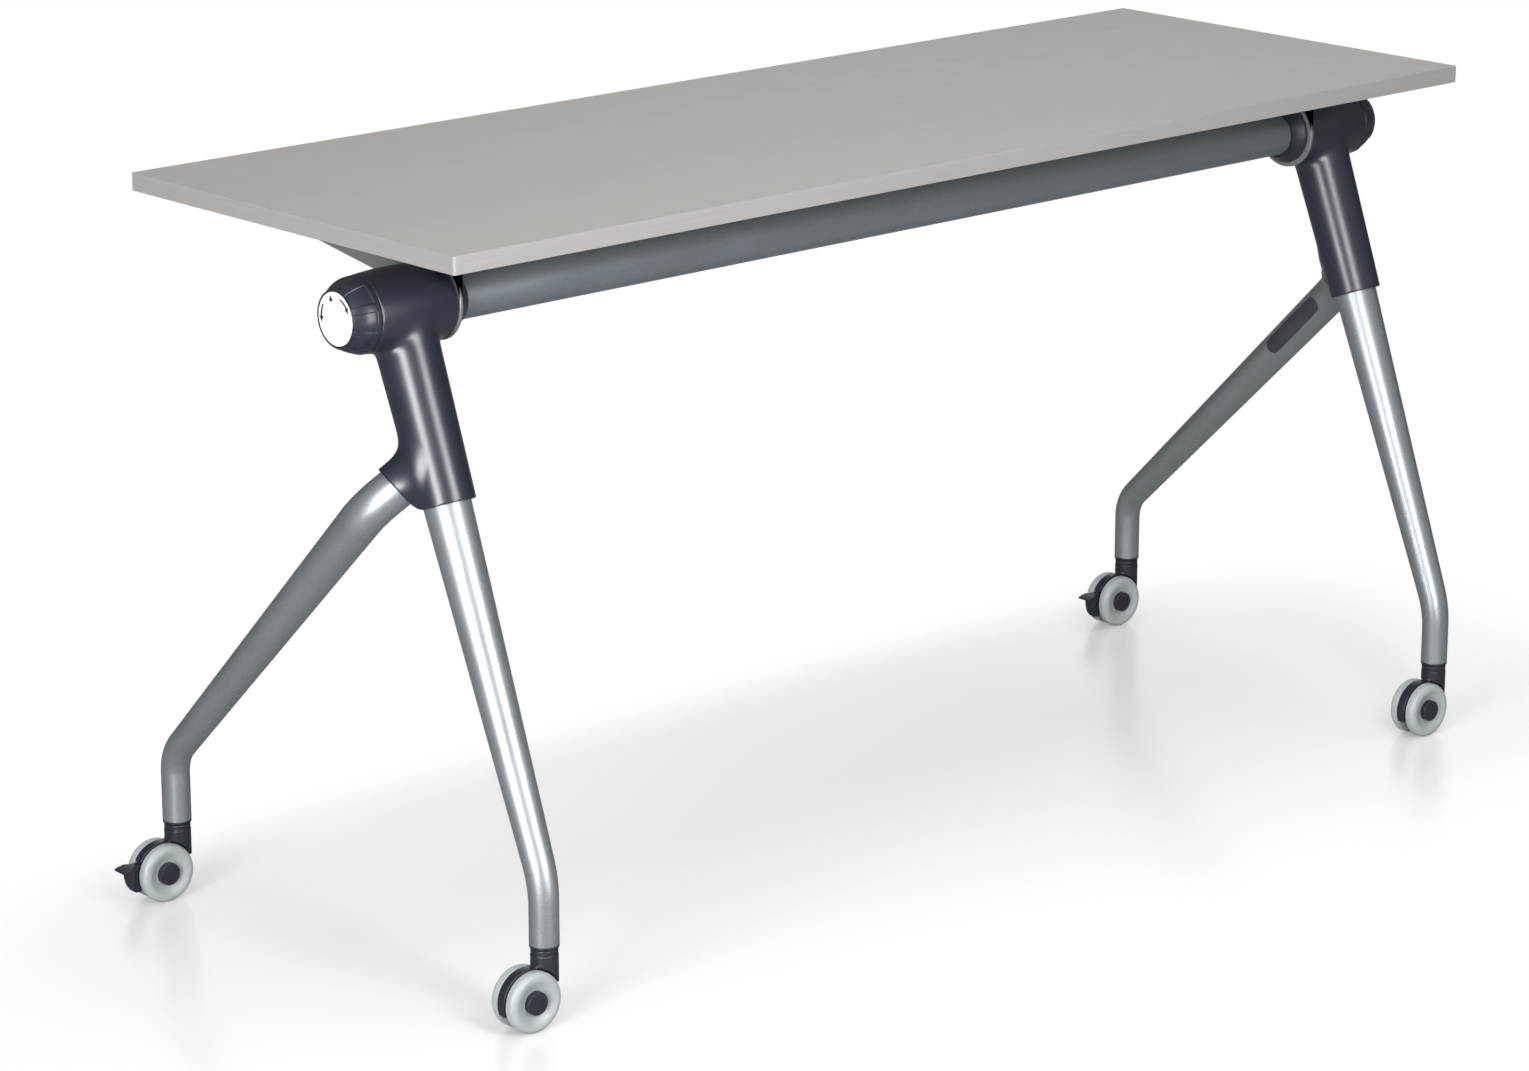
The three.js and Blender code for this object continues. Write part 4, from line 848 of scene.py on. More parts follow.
# %% Knob
KNOB_IN, KNOB_OUT, KNOB_FACE_RADIUS, KNOB_CROWN = 690.8, 717.5, 27.4, 2.2
DISC_RADIUS, DISC_IN = 25.7, 715.5
CAVITY_RADIUS, CAM_BORE, CAM_IN, CAM_OUT = 21.5, 8.8, 697.8, 700.8
GRIP_PANELS, GRIP_RIB, GRIP_DEPTH, GRIP_FROM, GRIP_TO = 8, np.radians(13.0), 1.1, 6.0, 25.8


def knob_angles():
    """Angles round the knob: one panel's pitch with close lines at its two edges, repeated."""
    half, edge = np.pi / GRIP_PANELS, np.pi / GRIP_PANELS - GRIP_RIB / 2
    near = edge + np.linspace(-0.03, 0.03, 9)
    middle = np.linspace(-near[0], near[0], 14)
    rib = np.linspace(near[-1], 2 * half - near[-1], 6)[1:-1]
    pitch = np.concatenate([middle, near[1:], rib, 2 * half - near[:0:-1]])
    return (pitch[None, :] + 2 * half * np.arange(GRIP_PANELS)[:, None]).ravel()


def knob_shape():
    """Crown radius less the sunken panels, closed through the hollow inside."""
    t = np.concatenate([np.linspace(0.0, 0.28, 22), np.linspace(0.3, 0.8, 12), np.linspace(0.82, 1.0, 22)])
    crown = BARREL_OUT_RADIUS + (KNOB_FACE_RADIUS - BARREL_OUT_RADIUS) * t**KNOB_CROWN
    along = KNOB_IN + (KNOB_OUT - KNOB_IN) * t
    edge = 0.6
    crown = crown - edge * (1 - np.sqrt(1 - (np.clip(edge - (along - KNOB_IN), 0, edge) / edge) ** 2))
    inner = [
        (KNOB_FACE_RADIUS - 0.7, KNOB_OUT),
        (DISC_RADIUS + SEAT, KNOB_OUT),
        (DISC_RADIUS + SEAT, DISC_IN - SEAT),
        (CAVITY_RADIUS, DISC_IN - SEAT),
        (CAVITY_RADIUS, CAM_OUT),
        (CAM_BORE, CAM_OUT),
        (CAM_BORE, CAM_IN),
        (SPIGOT_RADIUS + SEAT, CAM_IN),
        (SPIGOT_RADIUS + SEAT, KNOB_IN),
    ]
    profile = np.concatenate([np.stack([crown, along], axis=1), inner])
    angle = knob_angles()[:, None]
    pitch = 2 * np.pi / GRIP_PANELS
    off_middle = np.abs((angle + pitch / 2) % pitch - pitch / 2)
    across = soft_step(pitch / 2 - GRIP_RIB / 2 - off_middle, 0.0, 0.03)
    reach = profile[None, :, 1] - KNOB_IN
    lengthwise = soft_step(reach, GRIP_FROM, 3.0) * soft_step(-reach, -GRIP_TO, 2.0)
    outside = np.arange(len(profile))[None, :] < len(t)
    radius = profile[None, :, 0] - GRIP_DEPTH * across * lengthwise * outside
    along = np.broadcast_to(profile[None, :, 1], radius.shape)
    points = np.stack([along, radius * np.cos(angle), radius * np.sin(angle)], axis=-1)
    return points.reshape(-1, 3), grid_faces(len(angle), len(profile), True, True)


PRINT_HEIGHT = 0.1
DISC_FACE = KNOB_OUT - PRINT_HEIGHT


def disc_shape():
    """Flat round plate with a softened rim, sunk by the print's height."""
    corners = [(0, DISC_IN), (DISC_RADIUS, DISC_IN), (DISC_RADIUS, DISC_FACE), (0, DISC_FACE)]
    return revolve(rounded(corners, [0, 0.3, 0.5, 0], False), ROUND_SIDES, "x", False)


# %% [markdown]
# The disc's print is a pointer at the top and a curved arrow down each side. Each mark is an outline in polar
# form, filled and raised by a tenth of a millimetre, because a real pad print has that little thickness too.
# The print ends level with the knob's rim, so that it stays inside the solids' box.

# %% Marks on the disc
PRINT_ROOT = DISC_FACE - 0.3


def raised(outline):
    """Outline in (y, z), raised from the disc's face: a thin closed plate with a fan on each side."""
    x = np.array([PRINT_ROOT, KNOB_OUT])
    rings = np.stack([np.column_stack([np.full(len(outline), station), outline]) for station in x])
    return capped(rings, len(outline))


def arc_arrow(start, end, radius, width):
    """Bent bar along an arc and a triangular head at its end: two shapes on one curve."""
    turn = np.linspace(start, end, 16)
    direction = np.sign(end - start)
    half = width / 2 * np.linspace(0.6, 1.0, 16)
    low, high = PRINT_ROOT, KNOB_OUT
    corners = [(high, radius + half), (high, radius - half), (low, radius - half), (low, radius + half)]
    rings = [np.stack([np.full(16, x), r * np.sin(turn), r * np.cos(turn)], axis=1) for x, r in corners]
    bar = capped(np.stack(rings, axis=1), 4)
    tip = end + direction * 0.26
    polar = lambda a, r: (r * np.sin(a), r * np.cos(a))
    head = np.array([polar(end, radius - width * 1.3), polar(tip, radius), polar(end, radius + width * 1.3)])
    return joined(bar, raised(head))


POINTER = np.array([(-2.8, 17.2), (0.0, 23.2), (2.8, 17.2)])
DISC_TURN = np.radians(19.0)  # as the knob stands in the picture
ARROW_RADIUS, ARROW_WIDTH = 21.2, 2.3

both_ends("knob_", knob_shape(), "knob_{}", "knob_plastic", "lock_knob_", crease=50.0)
both_ends("disc_", disc_shape(), "knob_{}", "white_plastic", "knob_disc_")
arrows = [arc_arrow(*np.radians(ends), ARROW_RADIUS, ARROW_WIDTH) for ends in ((38.0, 72.0), (-38.0, -72.0))]
marks = turned(joined(raised(POINTER), *arrows), -DISC_TURN, (1, 2))
both_ends("disc_marks_", marks, "knob_{}", "white_plastic", material=INK)
print("knobs, discs and marks")

# %% [markdown]
# ## The legs
# Each leg is one tube, swaged to a taper and bent. Its path is a few corner points with an arc at each bend,
# and a circle whose radius falls along the way is carried along it. The circle's own axes are turned by no
# more than the path turns, so the grid doesn't twist.

# %% Leg paths
TUBE_SIDES = 64
BEND_STEPS = 28
CASTER_HEIGHT = 80.0
FRONT_REACH, FRONT_BEND = 202.0, 110.0
REAR_REACH, REAR_KNEE_HEIGHT, FOOT_OUTSET = 315.0, 148.0, 49.5
REAR_UPPER_BEND, REAR_LOWER_BEND = 70.0, 45.0
foot_z, knee_z = CASTER_HEIGHT - AXIS_Z, REAR_KNEE_HEIGHT - AXIS_Z
FRONT_FOOT = np.array([FRAME_X, -FRONT_REACH, foot_z])
FRONT_KNEE = np.array([FRAME_X, -FRONT_REACH, -FRONT_REACH / np.tan(LEAN)])
REAR_KNEE = np.array([FRAME_X + FOOT_OUTSET, REAR_REACH, knee_z])
REAR_FOOT = np.array([FRAME_X + FOOT_OUTSET, REAR_REACH, foot_z])


def bent_path(corners, bends):
    """Corner points joined by straight runs, with an arc of each bend's radius inside each corner."""
    runs = [corners[:1]]
    for before, here, after, bend in zip(corners, corners[1:], corners[2:], bends):
        u, v = unit(here - before), unit(after - here)
        angle = np.arccos(np.clip(u @ v, -1.0, 1.0))
        side = (v - u * np.cos(angle)) / np.sin(angle)
        start = here - u * bend * np.tan(angle / 2)
        turn = np.linspace(0.0, angle, BEND_STEPS)[:, None]
        runs.append(start + bend * (np.sin(turn) * u + (1 - np.cos(turn)) * side))
    runs.append(corners[-1:])
    return np.concatenate(runs)


def path_frames(path):
    """Travelled distance, tangent and two cross axes of each station; the axes turn with the path only."""
    run = np.diff(path, axis=0)
    length = np.linalg.norm(run, axis=1)
    travelled = np.concatenate([[0.0], np.cumsum(length)])
    heading = run / length[:, None]
    tangent = np.concatenate([heading[:1], heading[:-1] + heading[1:], heading[-1:]])
    tangent /= np.linalg.norm(tangent, axis=1)[:, None]
    normal = np.empty_like(tangent)
    across = np.cross(tangent[0], [1.0, 0.0, 0.0])
    normal[0] = np.cross(across, tangent[0]) / np.linalg.norm(across)
    for i in range(1, len(path)):
        carried = normal[i - 1] - tangent[i] * (normal[i - 1] @ tangent[i])
        normal[i] = carried / np.linalg.norm(carried)
    return travelled, tangent, normal, np.cross(tangent, normal)


def tube_along(path, radius_at):
    """Circles of the radius at each travelled distance, across the path, closed at both ends."""
    travelled, tangent, normal, other = path_frames(path)
    angle = np.linspace(0.0, 2 * np.pi, TUBE_SIDES, endpoint=False)
    radius = radius_at(travelled)[:, None, None]
    circle = np.cos(angle)[None, :, None] * normal[:, None] + np.sin(angle)[None, :, None] * other[:, None]
    return capped(path[:, None] + radius * circle, TUBE_SIDES)


def tapered(start, end, large, small):
    """Radius that holds, falls evenly between two distances and holds again."""
    return lambda s: large + (small - large) * np.clip((s - start) / (end - start), 0.0, 1.0)


# %% Legs
SOCKET_DEPTH = 20.0
front_top = column_top + (COLUMN_LENGTH - SOCKET_DEPTH) * column_down
front_path = bent_path(np.array([front_top, FRONT_KNEE, FRONT_FOOT]), [FRONT_BEND])
front_bend_end = path_frames(front_path)[0][-2]
front_radius = tapered(SOCKET_DEPTH, front_bend_end, FRONT_TOP_RADIUS, FOOT_RADIUS)

rear_start = branch_root + (BRANCH_LENGTH - 6.0) * branch_out
rear_corners = np.array([rear_start, REAR_TOP, REAR_KNEE, REAR_FOOT])
rear_path = bent_path(rear_corners, [REAR_UPPER_BEND, REAR_LOWER_BEND])
rear_travelled = path_frames(rear_path)[0]
rear_slope = (rear_travelled[BEND_STEPS], rear_travelled[-2])
rear_radius = tapered(*rear_slope, REAR_TOP_RADIUS, FOOT_RADIUS)
both_ends("front_tube_", tube_along(front_path, front_radius), "leg_frame", "silver_paint", "front_leg_")
both_ends("rear_tube_", tube_along(rear_path, rear_radius), "leg_frame", "silver_paint", "rear_leg_")
print("rear leg slope from %.0f to %.0f mm along" % rear_slope)

# %% [markdown]
# ## The leg pads
# When tables are pushed together, an oval pad on each rear leg's inner face keeps the paint whole. The pad is
# a stadium in two parameters, share of the way out from its middle line and angle round it, wrapped onto the
# tube: the across measure becomes an angle about the tube's axis, and the height falls away at the rim.

# %% Leg pads
PAD_LENGTH, PAD_WIDTH, PAD_THICKNESS, PAD_DOWN = 98.0, 19.5, 1.6, 77.0


def pad_shape():
    """Stadium wrapped on the tapered tube: its height falls to nothing at the rim by a fourth root."""
    down = unit(REAR_KNEE - REAR_TOP)
    inward = unit(np.array([-1.0, 0.0, 0.0]) + down * down[0])
    across = np.cross(inward, down)
    middle = REAR_TOP + PAD_DOWN * down
    share = np.concatenate([np.linspace(0.0, 0.9, 8), np.linspace(0.92, 1.0, 9), [1.0, 0.0]])[:, None]
    angle = np.linspace(0.0, 2 * np.pi, 96, endpoint=False)[None, :]
    straight, half = (PAD_LENGTH - PAD_WIDTH) / 2, PAD_WIDTH / 2
    lengthwise = share * half * np.cos(angle) + straight * np.clip(3 * np.cos(angle), -1.0, 1.0)
    wide = share * half * np.sin(angle)
    lift = PAD_THICKNESS * (1 - np.clip(share, 0, 1) ** 6) ** 0.25 * np.ones_like(angle)
    lift[-2:] = -0.6
    bend_rest = np.linalg.norm(REAR_TOP - rear_path[BEND_STEPS])
    radius = rear_radius(rear_slope[0] + PAD_DOWN - bend_rest + lengthwise)
    bearing = wide / radius
    height = radius + lift
    points = (
        middle
        + lengthwise[..., None] * down
        + (height * np.cos(bearing))[..., None] * inward
        + (height * np.sin(bearing))[..., None] * across
    )
    return points.reshape(-1, 3), grid_faces(len(share), angle.size, False, True)


both_ends("pad_", pad_shape(), "leg_frame", "pad_rubber", "leg_pad_")
print("leg pads")

# %% [markdown]
# ## The casters
# Four twin-wheel casters carry the table. Their inserts, wheels and caps are revolves. The housing is a round
# neck that runs down into a hood between the wheels, and it is cut away where the wheels turn, so it is made
# with the distance method again.

# %% Caster places
CASTER_YAW, TRAIL = np.radians(-2.0), 22.0
WHEEL_RADIUS, WHEEL_WIDTH, WHEEL_GAP, WHEEL_DISH = 30.0, 11.0, 13.0, 4.5
FEET = {
    "front_left": (-FRAME_X, AXIS_Y - FRONT_REACH),
    "front_right": (FRAME_X, AXIS_Y - FRONT_REACH),
    "rear_left": (-FRAME_X - FOOT_OUTSET, AXIS_Y + REAR_REACH),
    "rear_right": (FRAME_X + FOOT_OUTSET, AXIS_Y + REAR_REACH),
}
wheel_in, wheel_out = WHEEL_GAP / 2, WHEEL_GAP / 2 + WHEEL_WIDTH
hub_floor = wheel_out - 6.2
AXLE = np.array([-TRAIL, 0.0, WHEEL_RADIUS])


def at_foot(shape, foot):
    """A shape drawn from the floor under the swivel axis, turned by the casters' yaw and put at a foot."""
    return moved(turned(shape, CASTER_YAW), (*FEET[foot], 0.0))


# %% Inserts, wheels and hub caps
AXLE_BORE, CAP_RADIUS, CAP_PROUD = 3.3, 11.4, 1.8
CREST_RADIUS, SHOULDER = 24.4, 5.2
INSERT_BORE, INSERT_RADIUS = 5.3, 12.2


def insert_shape():
    """Flanged sleeve in the leg's end."""
    flange_top, flange_bottom, top = 79.7, 77.5, 115.5
    corners = [
        (INSERT_BORE, flange_bottom),
        (FOOT_RADIUS, flange_bottom),
        (FOOT_RADIUS, flange_top),
        (INSERT_RADIUS, flange_top),
        (INSERT_RADIUS, top),
        (INSERT_BORE, top),
    ]
    return revolve(rounded(corners, [0.3, 0.5, 0.5, 0, 0.5, 0.3]), 64, "z")


def wheel_shape():
    """Tread, a quarter ellipse up to the crest, a cosine dish down to the hub and a pocket for the cap."""
    turn = np.linspace(0.0, np.pi / 2, 14)
    reach = WHEEL_RADIUS - CREST_RADIUS
    height = wheel_out - SHOULDER * (1 - np.sin(turn))
    shoulder = np.stack([CREST_RADIUS + reach * np.cos(turn), height], axis=1)
    t = np.linspace(0.0, 1.0, 20)[1:]
    pocket = CAP_RADIUS + SEAT
    fall = WHEEL_DISH * (1 - np.cos(np.pi * t)) / 2
    dish = np.stack([CREST_RADIUS + (pocket - CREST_RADIUS) * t, wheel_out - fall], axis=1)
    inner_rim = rounded([(AXLE_BORE, wheel_in), (WHEEL_RADIUS, wheel_in), shoulder[0]], [0, 1.4, 0], False)
    inner = [(pocket, hub_floor), (AXLE_BORE, hub_floor)]
    profile = np.concatenate([inner_rim[:-1], shoulder, dish, inner])
    return moved(revolve(profile, ROUND_SIDES, "y"), AXLE)


def cap_shape():
    """Short cylinder with a rounded edge and a face that rises a little towards its middle."""
    face, floor, lip = wheel_out + CAP_PROUD, hub_floor + SEAT, CAP_RADIUS - 1.1
    corners = [(0, floor), (CAP_RADIUS, floor), (CAP_RADIUS, face - 0.5), (lip, face - 0.45)]
    side = rounded(corners, [0, 0.4, 0.7, 0], False)
    r = np.linspace(lip, 0.0, 8)[1:]
    dome = np.stack([r, face - 0.4 * (r / lip) ** 2], axis=1)
    return moved(revolve(np.concatenate([side, dome]), 72, "y", False), AXLE)


def other_side(shape):
    """A shape reflected to the other wheel of the pair."""
    points, faces = shape
    return points * np.array([1.0, -1.0, 1.0]), faces


WHEEL_SIDES = {"aft": lambda shape: shape, "fore": other_side}
for foot in FEET:
    new_piece(
        "insert_" + foot, at_foot(insert_shape(), foot), "leg_frame", "dark_plastic", ["caster_insert_" + foot]
    )
    for side, turned_to in WHEEL_SIDES.items():
        name = f"{side}_{foot}"
        body = "body_wheel_" + name
        roller, cap = (at_foot(turned_to(shape), foot) for shape in (wheel_shape(), cap_shape()))
        new_piece("roller_" + name, roller, body, "pale_tread", ["wheel_" + name])
        new_piece("cap_" + name, cap, body, "dark_plastic", ["hub_cap_" + name])
print("wheels:", 2 * len(FEET))

# %% Caster housings
NECK_RADIUS, NECK_FOOT, NECK_TOP = 13.5, 42.5, 77.2
HOOD_WIDTH, HOOD_RADIUS, BOSS_RADIUS, STEM_RADIUS = 10.6, 30.6, 9.0, 5.0
HOOD_FRONT, HOOD_BACK, BRAKED_BACK, TONGUE_BACK = np.radians([30.0, 201.0, 150.0, 190.0])
WHEEL_CLEARANCE, TONGUE_WIDTH = 1.5, 4.0
PIVOT_BACK, PIVOT_ROOM, STEM_ROOT, STEM_LENGTH = 20.0, 6.1, 3.0, 32.0
PIVOT = AXLE + np.array([-PIVOT_BACK, 0.0, 6.0])


def neck_radius(z):
    """Neck's radius by height: a shoulder at the top, a band under it and a fine groove below the band."""
    shoulder = 2.2 * np.clip((z - NECK_TOP + 2.0) / 2.0, 0.0, 1.0) ** 2
    groove = 1.1 * np.clip(1 - np.abs(z - NECK_TOP + 6.2) / 1.0, 0.0, 1.0)
    band = 0.25 * np.clip(z - NECK_TOP + 6.2, 0.0, 1.0)
    return NECK_RADIUS - shoulder - groove - band


def housing_distance(braked):
    """Neck and hood joined with a fillet, less the wheels' room; a braked hood ends early in a tongue."""

    def distance(p):
        x, y, z = p[:, 0] - AXLE[0], np.abs(p[:, 1]), p[:, 2] - AXLE[2]
        off_neck, off_axle = np.hypot(p[:, 0], p[:, 1]), np.hypot(x, z)
        ends = np.maximum(NECK_FOOT - p[:, 2], p[:, 2] - NECK_TOP)
        neck = smooth_max(off_neck - neck_radius(p[:, 2]), ends, 0.8)
        angle = np.mod(np.arctan2(z, x), 2 * np.pi)
        back = BRAKED_BACK if braked else HOOD_BACK
        middle, half = (HOOD_FRONT + back) / 2, (back - HOOD_FRONT) / 2
        beyond = (np.abs(angle - middle) - half) * off_axle
        web = np.maximum(off_axle - HOOD_RADIUS, beyond)
        web = np.minimum(web, off_axle - BOSS_RADIUS)
        hood = smooth_max(web, y - HOOD_WIDTH / 2, 2.0)
        if braked:
            swing = np.maximum(angle - TONGUE_BACK, HOOD_FRONT - angle) * off_axle
            tongue = np.maximum(np.maximum(off_axle - HOOD_RADIUS + 0.3, swing), y - TONGUE_WIDTH / 2)
            hub_room = np.hypot(p[:, 0] - PIVOT[0], p[:, 2] - PIVOT[2]) - PIVOT_ROOM
            hood = np.minimum(np.maximum(hood, -hub_room), tongue)
        body = smooth_min(neck, hood, 5.0)
        wheel_room = np.maximum(off_axle - WHEEL_RADIUS - WHEEL_CLEARANCE, HOOD_WIDTH / 2 - y)
        body = smooth_max(body, -wheel_room, 0.8)
        above = p[:, 2] - NECK_TOP
        stem = np.maximum(off_neck - STEM_RADIUS, np.maximum(-STEM_ROOT - above, above - STEM_LENGTH))
        axle_hole = off_axle - AXLE_BORE
        return np.maximum(np.minimum(body, stem), -axle_hole)

    return distance


HOUSING_LOW, HOUSING_HIGH = (-52.0, -14.0, 18.0), (14.0, 14.0, 110.0)
housing_step = 0.55
HOUSINGS = {
    "front": surface_net(housing_distance(False), HOUSING_LOW, HOUSING_HIGH, housing_step),
    "rear": surface_net(housing_distance(True), HOUSING_LOW, HOUSING_HIGH, housing_step),
}
for foot in FEET:
    net = HOUSINGS[foot.split("_")[0]]
    stands_for = ["caster_housing_" + foot]
    new_piece("housing_" + foot, at_foot(net, foot), "caster_" + foot, "dark_plastic", stands_for, 40.0)
print("housing faces:", [len(net[1]) for net in HOUSINGS.values()])

# %% [markdown]
# ## The brake pedals
# A pedal on each rear caster is pressed by foot. From the side it is a leaf that rises from the pivot and a
# claw that reaches down towards the wheels; from above the leaf widens behind the wheels. Its distance is the
# larger of the side outline's and the plan outline's, which is what cutting one with the other means.

# %% Brake pedals
PEDAL_HUB, PEDAL_WIDTH, LEAF_WIDTH = 5.5, 10.0, 19.0
LEAF_REACH, LEAF_RISE, LEAF_ARCH, LEAF_THICKNESS = 29.0, 4.0, 9.5, 3.0
CLAW_BACK, CLAW_DROP, CLAW_TIP, CLAW_WIDTH, LEAF_DEPTH = 21.0, 22.0, 3.5, 12.0, 4.5
PEDAL_ROUND = 0.9


def curve_through(start, control, end, count=9):
    """Quadratic curve from start to end, pulled towards a control point."""
    t = np.linspace(0.0, 1.0, count)[1:, None]
    return (1 - t) ** 2 * np.array(start) + 2 * t * (1 - t) * np.array(control) + t**2 * np.array(end)


def pedal_side():
    """Side outline in (x, z) from the pivot."""
    angle = np.radians(np.linspace(-60.0, 100.0, 16))
    hub = PEDAL_HUB * np.stack([np.cos(angle), np.sin(angle)], axis=1)
    end_z = LEAF_RISE - LEAF_THICKNESS
    end, under = (-LEAF_REACH, LEAF_RISE), (-CLAW_BACK, end_z)
    tip = (-PEDAL_HUB - 2 * CLAW_TIP, -CLAW_DROP)
    inner = (-PEDAL_HUB, -CLAW_DROP)
    return np.concatenate(
        [
            hub,
            curve_through(hub[-1], (-0.4 * LEAF_REACH, LEAF_ARCH), end),
            [(-LEAF_REACH, end_z)],
            curve_through((-LEAF_REACH, end_z), (-(LEAF_REACH + CLAW_BACK) / 2, LEAF_RISE), under),
            curve_through(under, (-CLAW_BACK, -0.7 * CLAW_DROP), tip),
            [inner],
            curve_through(inner, (-PEDAL_HUB, -PEDAL_HUB), hub[0])[:-1],
        ]
    )


def pedal_plan():
    """Half of the plan outline in (x, y) from the pivot: narrow between the wheels, wide behind them."""
    narrow, wide = PEDAL_WIDTH / 2, LEAF_WIDTH / 2
    root = PIVOT_BACK - WHEEL_RADIUS - 2 * WHEEL_CLEARANCE
    corners = [(12, -1), (12, narrow), (root, narrow), (root - 4.5, wide)]
    corners += [(-LEAF_REACH, wide), (-LEAF_REACH, -1)]
    return rounded(corners, [0, 0, 2, 2, 1.5, 0])


PEDAL_SIDE, PEDAL_PLAN = pedal_side(), pedal_plan()
LEAF_TOP = curve_through((0.0, PEDAL_HUB), (-0.4 * LEAF_REACH, LEAF_ARCH), (-LEAF_REACH, LEAF_RISE))[::-1]


def pedal_distance(p):
    """Side and plan outlines cut with each other, narrower below the leaf, less the housing tongue's slot."""
    x, y, z = p[:, 0] - PIVOT[0], np.abs(p[:, 1]), p[:, 2] - PIVOT[2]
    side, plan = outline_distance(x, z, PEDAL_SIDE), outline_distance(x, y, PEDAL_PLAN)
    below = np.interp(x, LEAF_TOP[:, 0], LEAF_TOP[:, 1]) - LEAF_DEPTH - z
    plan = smooth_max(plan, smooth_min(below, y - CLAW_WIDTH / 2, 1.5), 1.0)
    blade = smooth_max(side + 0.2, plan + 0.2, 2 * PEDAL_ROUND)
    off_axle = np.hypot(p[:, 0] - AXLE[0], p[:, 2] - AXLE[2])
    slot = np.maximum(off_axle - HOOD_RADIUS - 2.5, y - TONGUE_WIDTH / 2 - SEAT)
    pin = np.maximum(np.hypot(x, z) - 2.2, y - PEDAL_WIDTH / 2 + 0.5)
    return np.minimum(np.maximum(blade, -slot), pin)


PEDAL_LOW, PEDAL_HIGH = PIVOT + np.array([-30.0, -10.0, -23.0]), PIVOT + np.array([7.0, 10.0, 12.0])
pedal_net = surface_net(pedal_distance, PEDAL_LOW, PEDAL_HIGH, 0.45)
for foot in ("rear_left", "rear_right"):
    stands_for = ["brake_pedal_" + foot]
    new_piece("pedal_" + foot, at_foot(pedal_net, foot), "pedal_" + foot, "dark_plastic", stands_for, 45.0)
print("pedal faces:", len(pedal_net[1]))

# %% [markdown]
# ## The lock springs
# A coil spring presses each plunger against the beam. When the knob draws the plunger back by five
# millimetres, the spring gets shorter; each spring here is a piece with a mesh of its own.

# %% Lock springs
SPRING_IN, SPRING_OUT = span_x("lock_spring_right")
SPRING_RADIUS, SPRING_WIRE, SPRING_TURNS, PLUNGER_STROKE = 13.5, 1.2, 4.0, 5.0


def spring_shape():
    """Tube along a helix: the angle and the place along X grow together."""
    t = np.linspace(0.0, 1.0, 160)
    angle = 2 * np.pi * SPRING_TURNS * t
    x = SPRING_IN + SPRING_WIRE + (SPRING_OUT - SPRING_IN - 2 * SPRING_WIRE) * t
    path = np.stack([x, SPRING_RADIUS * np.cos(angle), SPRING_RADIUS * np.sin(angle)], axis=1)
    return tube_along(path, lambda s: np.full_like(s, SPRING_WIRE))


for side, sign in SIDES.items():
    name = "lock_spring_" + side
    spring = new_piece("spring_" + side, at_end(spring_shape(), side), "leg_frame", "bright_steel", [name])
    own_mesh(spring)

# %% [markdown]
# ## Finishes of the remaining nodes
# Plugs, plungers and axles keep their CAD shapes, because they show little or not at all. They still
# get their own finish, chosen by the material slot in the record.

# %% Finishes on CAD nodes
slot_of = {part["node"]: part["material_slot"] for part in frame["record"]["subparts"]}
for name, node in nodes.items():
    node.data.materials.clear()
    node.data.materials.append(FINISH[slot_of[name]])
print("finished nodes:", len(nodes))

# %% [markdown]
# ## Floor and light
# The photograph was taken on a white floor that runs into a white background. The floor here is a pale plane
# that keeps the table's soft shadows and reflections; beyond a rounded oblong round the feet it turns into
# plain white. Two strip lamps show only in reflections, as the long highlights on tubes and castings, and
# softboxes left, right and above only light the surfaces.

# %% Floor
FLOOR_HALF, CLEAR_MIDDLE, CLEAR_SHAPE = 30.0, (0.0, 0.05, 0.0), (0.87, 2.15, 0.0)
CLEAR_SPAN, WHITE = (0.5, 1.05), (1, 1, 1, 1)
FLOOR_GLOW, FLOOR_PALE, FLOOR_IN_TUBES = 0.2, (0.74, 0.74, 0.74, 1), (0.26, 0.26, 0.26, 1)


def floor_finish():
    """Pale glossy floor that glows a little to the camera, white beyond an ellipse, darker in reflections."""
    material, tree, shader, coordinates = new_finish("white floor", IOR=1.65)
    path = add_node(tree, "ShaderNodeLightPath")
    add_gloss(tree, shader, coordinates, (0.24, 0.24), 0.00005, wide=3.0, fine=60.0)
    colour = mixed_colour(tree, path.outputs["Is Glossy Ray"], FLOOR_PALE, FLOOR_IN_TUBES)
    tree.links.new(colour, shader.inputs["Base Color"])
    camera_ray = path.outputs["Is Camera Ray"]
    shader.inputs["Emission Color"].default_value = WHITE
    glow = calculated(tree, "MULTIPLY", camera_ray, FLOOR_GLOW)
    tree.links.new(glow, shader.inputs["Emission Strength"])
    away = calculated(tree, "ADD", coordinates, CLEAR_MIDDLE, VECTOR_MATH)
    away = calculated(tree, "MULTIPLY", away, CLEAR_SHAPE, VECTOR_MATH)
    away = calculated(tree, "MULTIPLY", away, away, VECTOR_MATH)
    length = add_node(tree, VECTOR_MATH, [(0, away)], operation="LENGTH").outputs["Value"]
    share = map_range(tree, length, CLEAR_SPAN, smooth=True)
    seen = calculated(tree, "MULTIPLY", share, camera_ray)
    white = add_node(tree, "ShaderNodeEmission", [("Color", WHITE), ("Strength", 1.0)])
    far = add_node(tree, "ShaderNodeMixShader", [(0, seen), (1, shader.outputs[0]), (2, white.outputs[0])])
    tree.links.new(far.outputs[0], tree.nodes["Material Output"].inputs["Surface"])
    return material


corners = np.array([(-1, -1, 0), (1, -1, 0), (1, 1, 0), (-1, 1, 0)]) * FLOOR_HALF
floor_mesh = bpy.data.meshes.new("floor")
floor_mesh.from_pydata(corners.tolist(), [], [(0, 1, 2, 3)])
floor_mesh.materials.append(floor_finish())
floor = bpy.data.objects.new("floor", floor_mesh)
bpy.context.scene.collection.objects.link(floor)

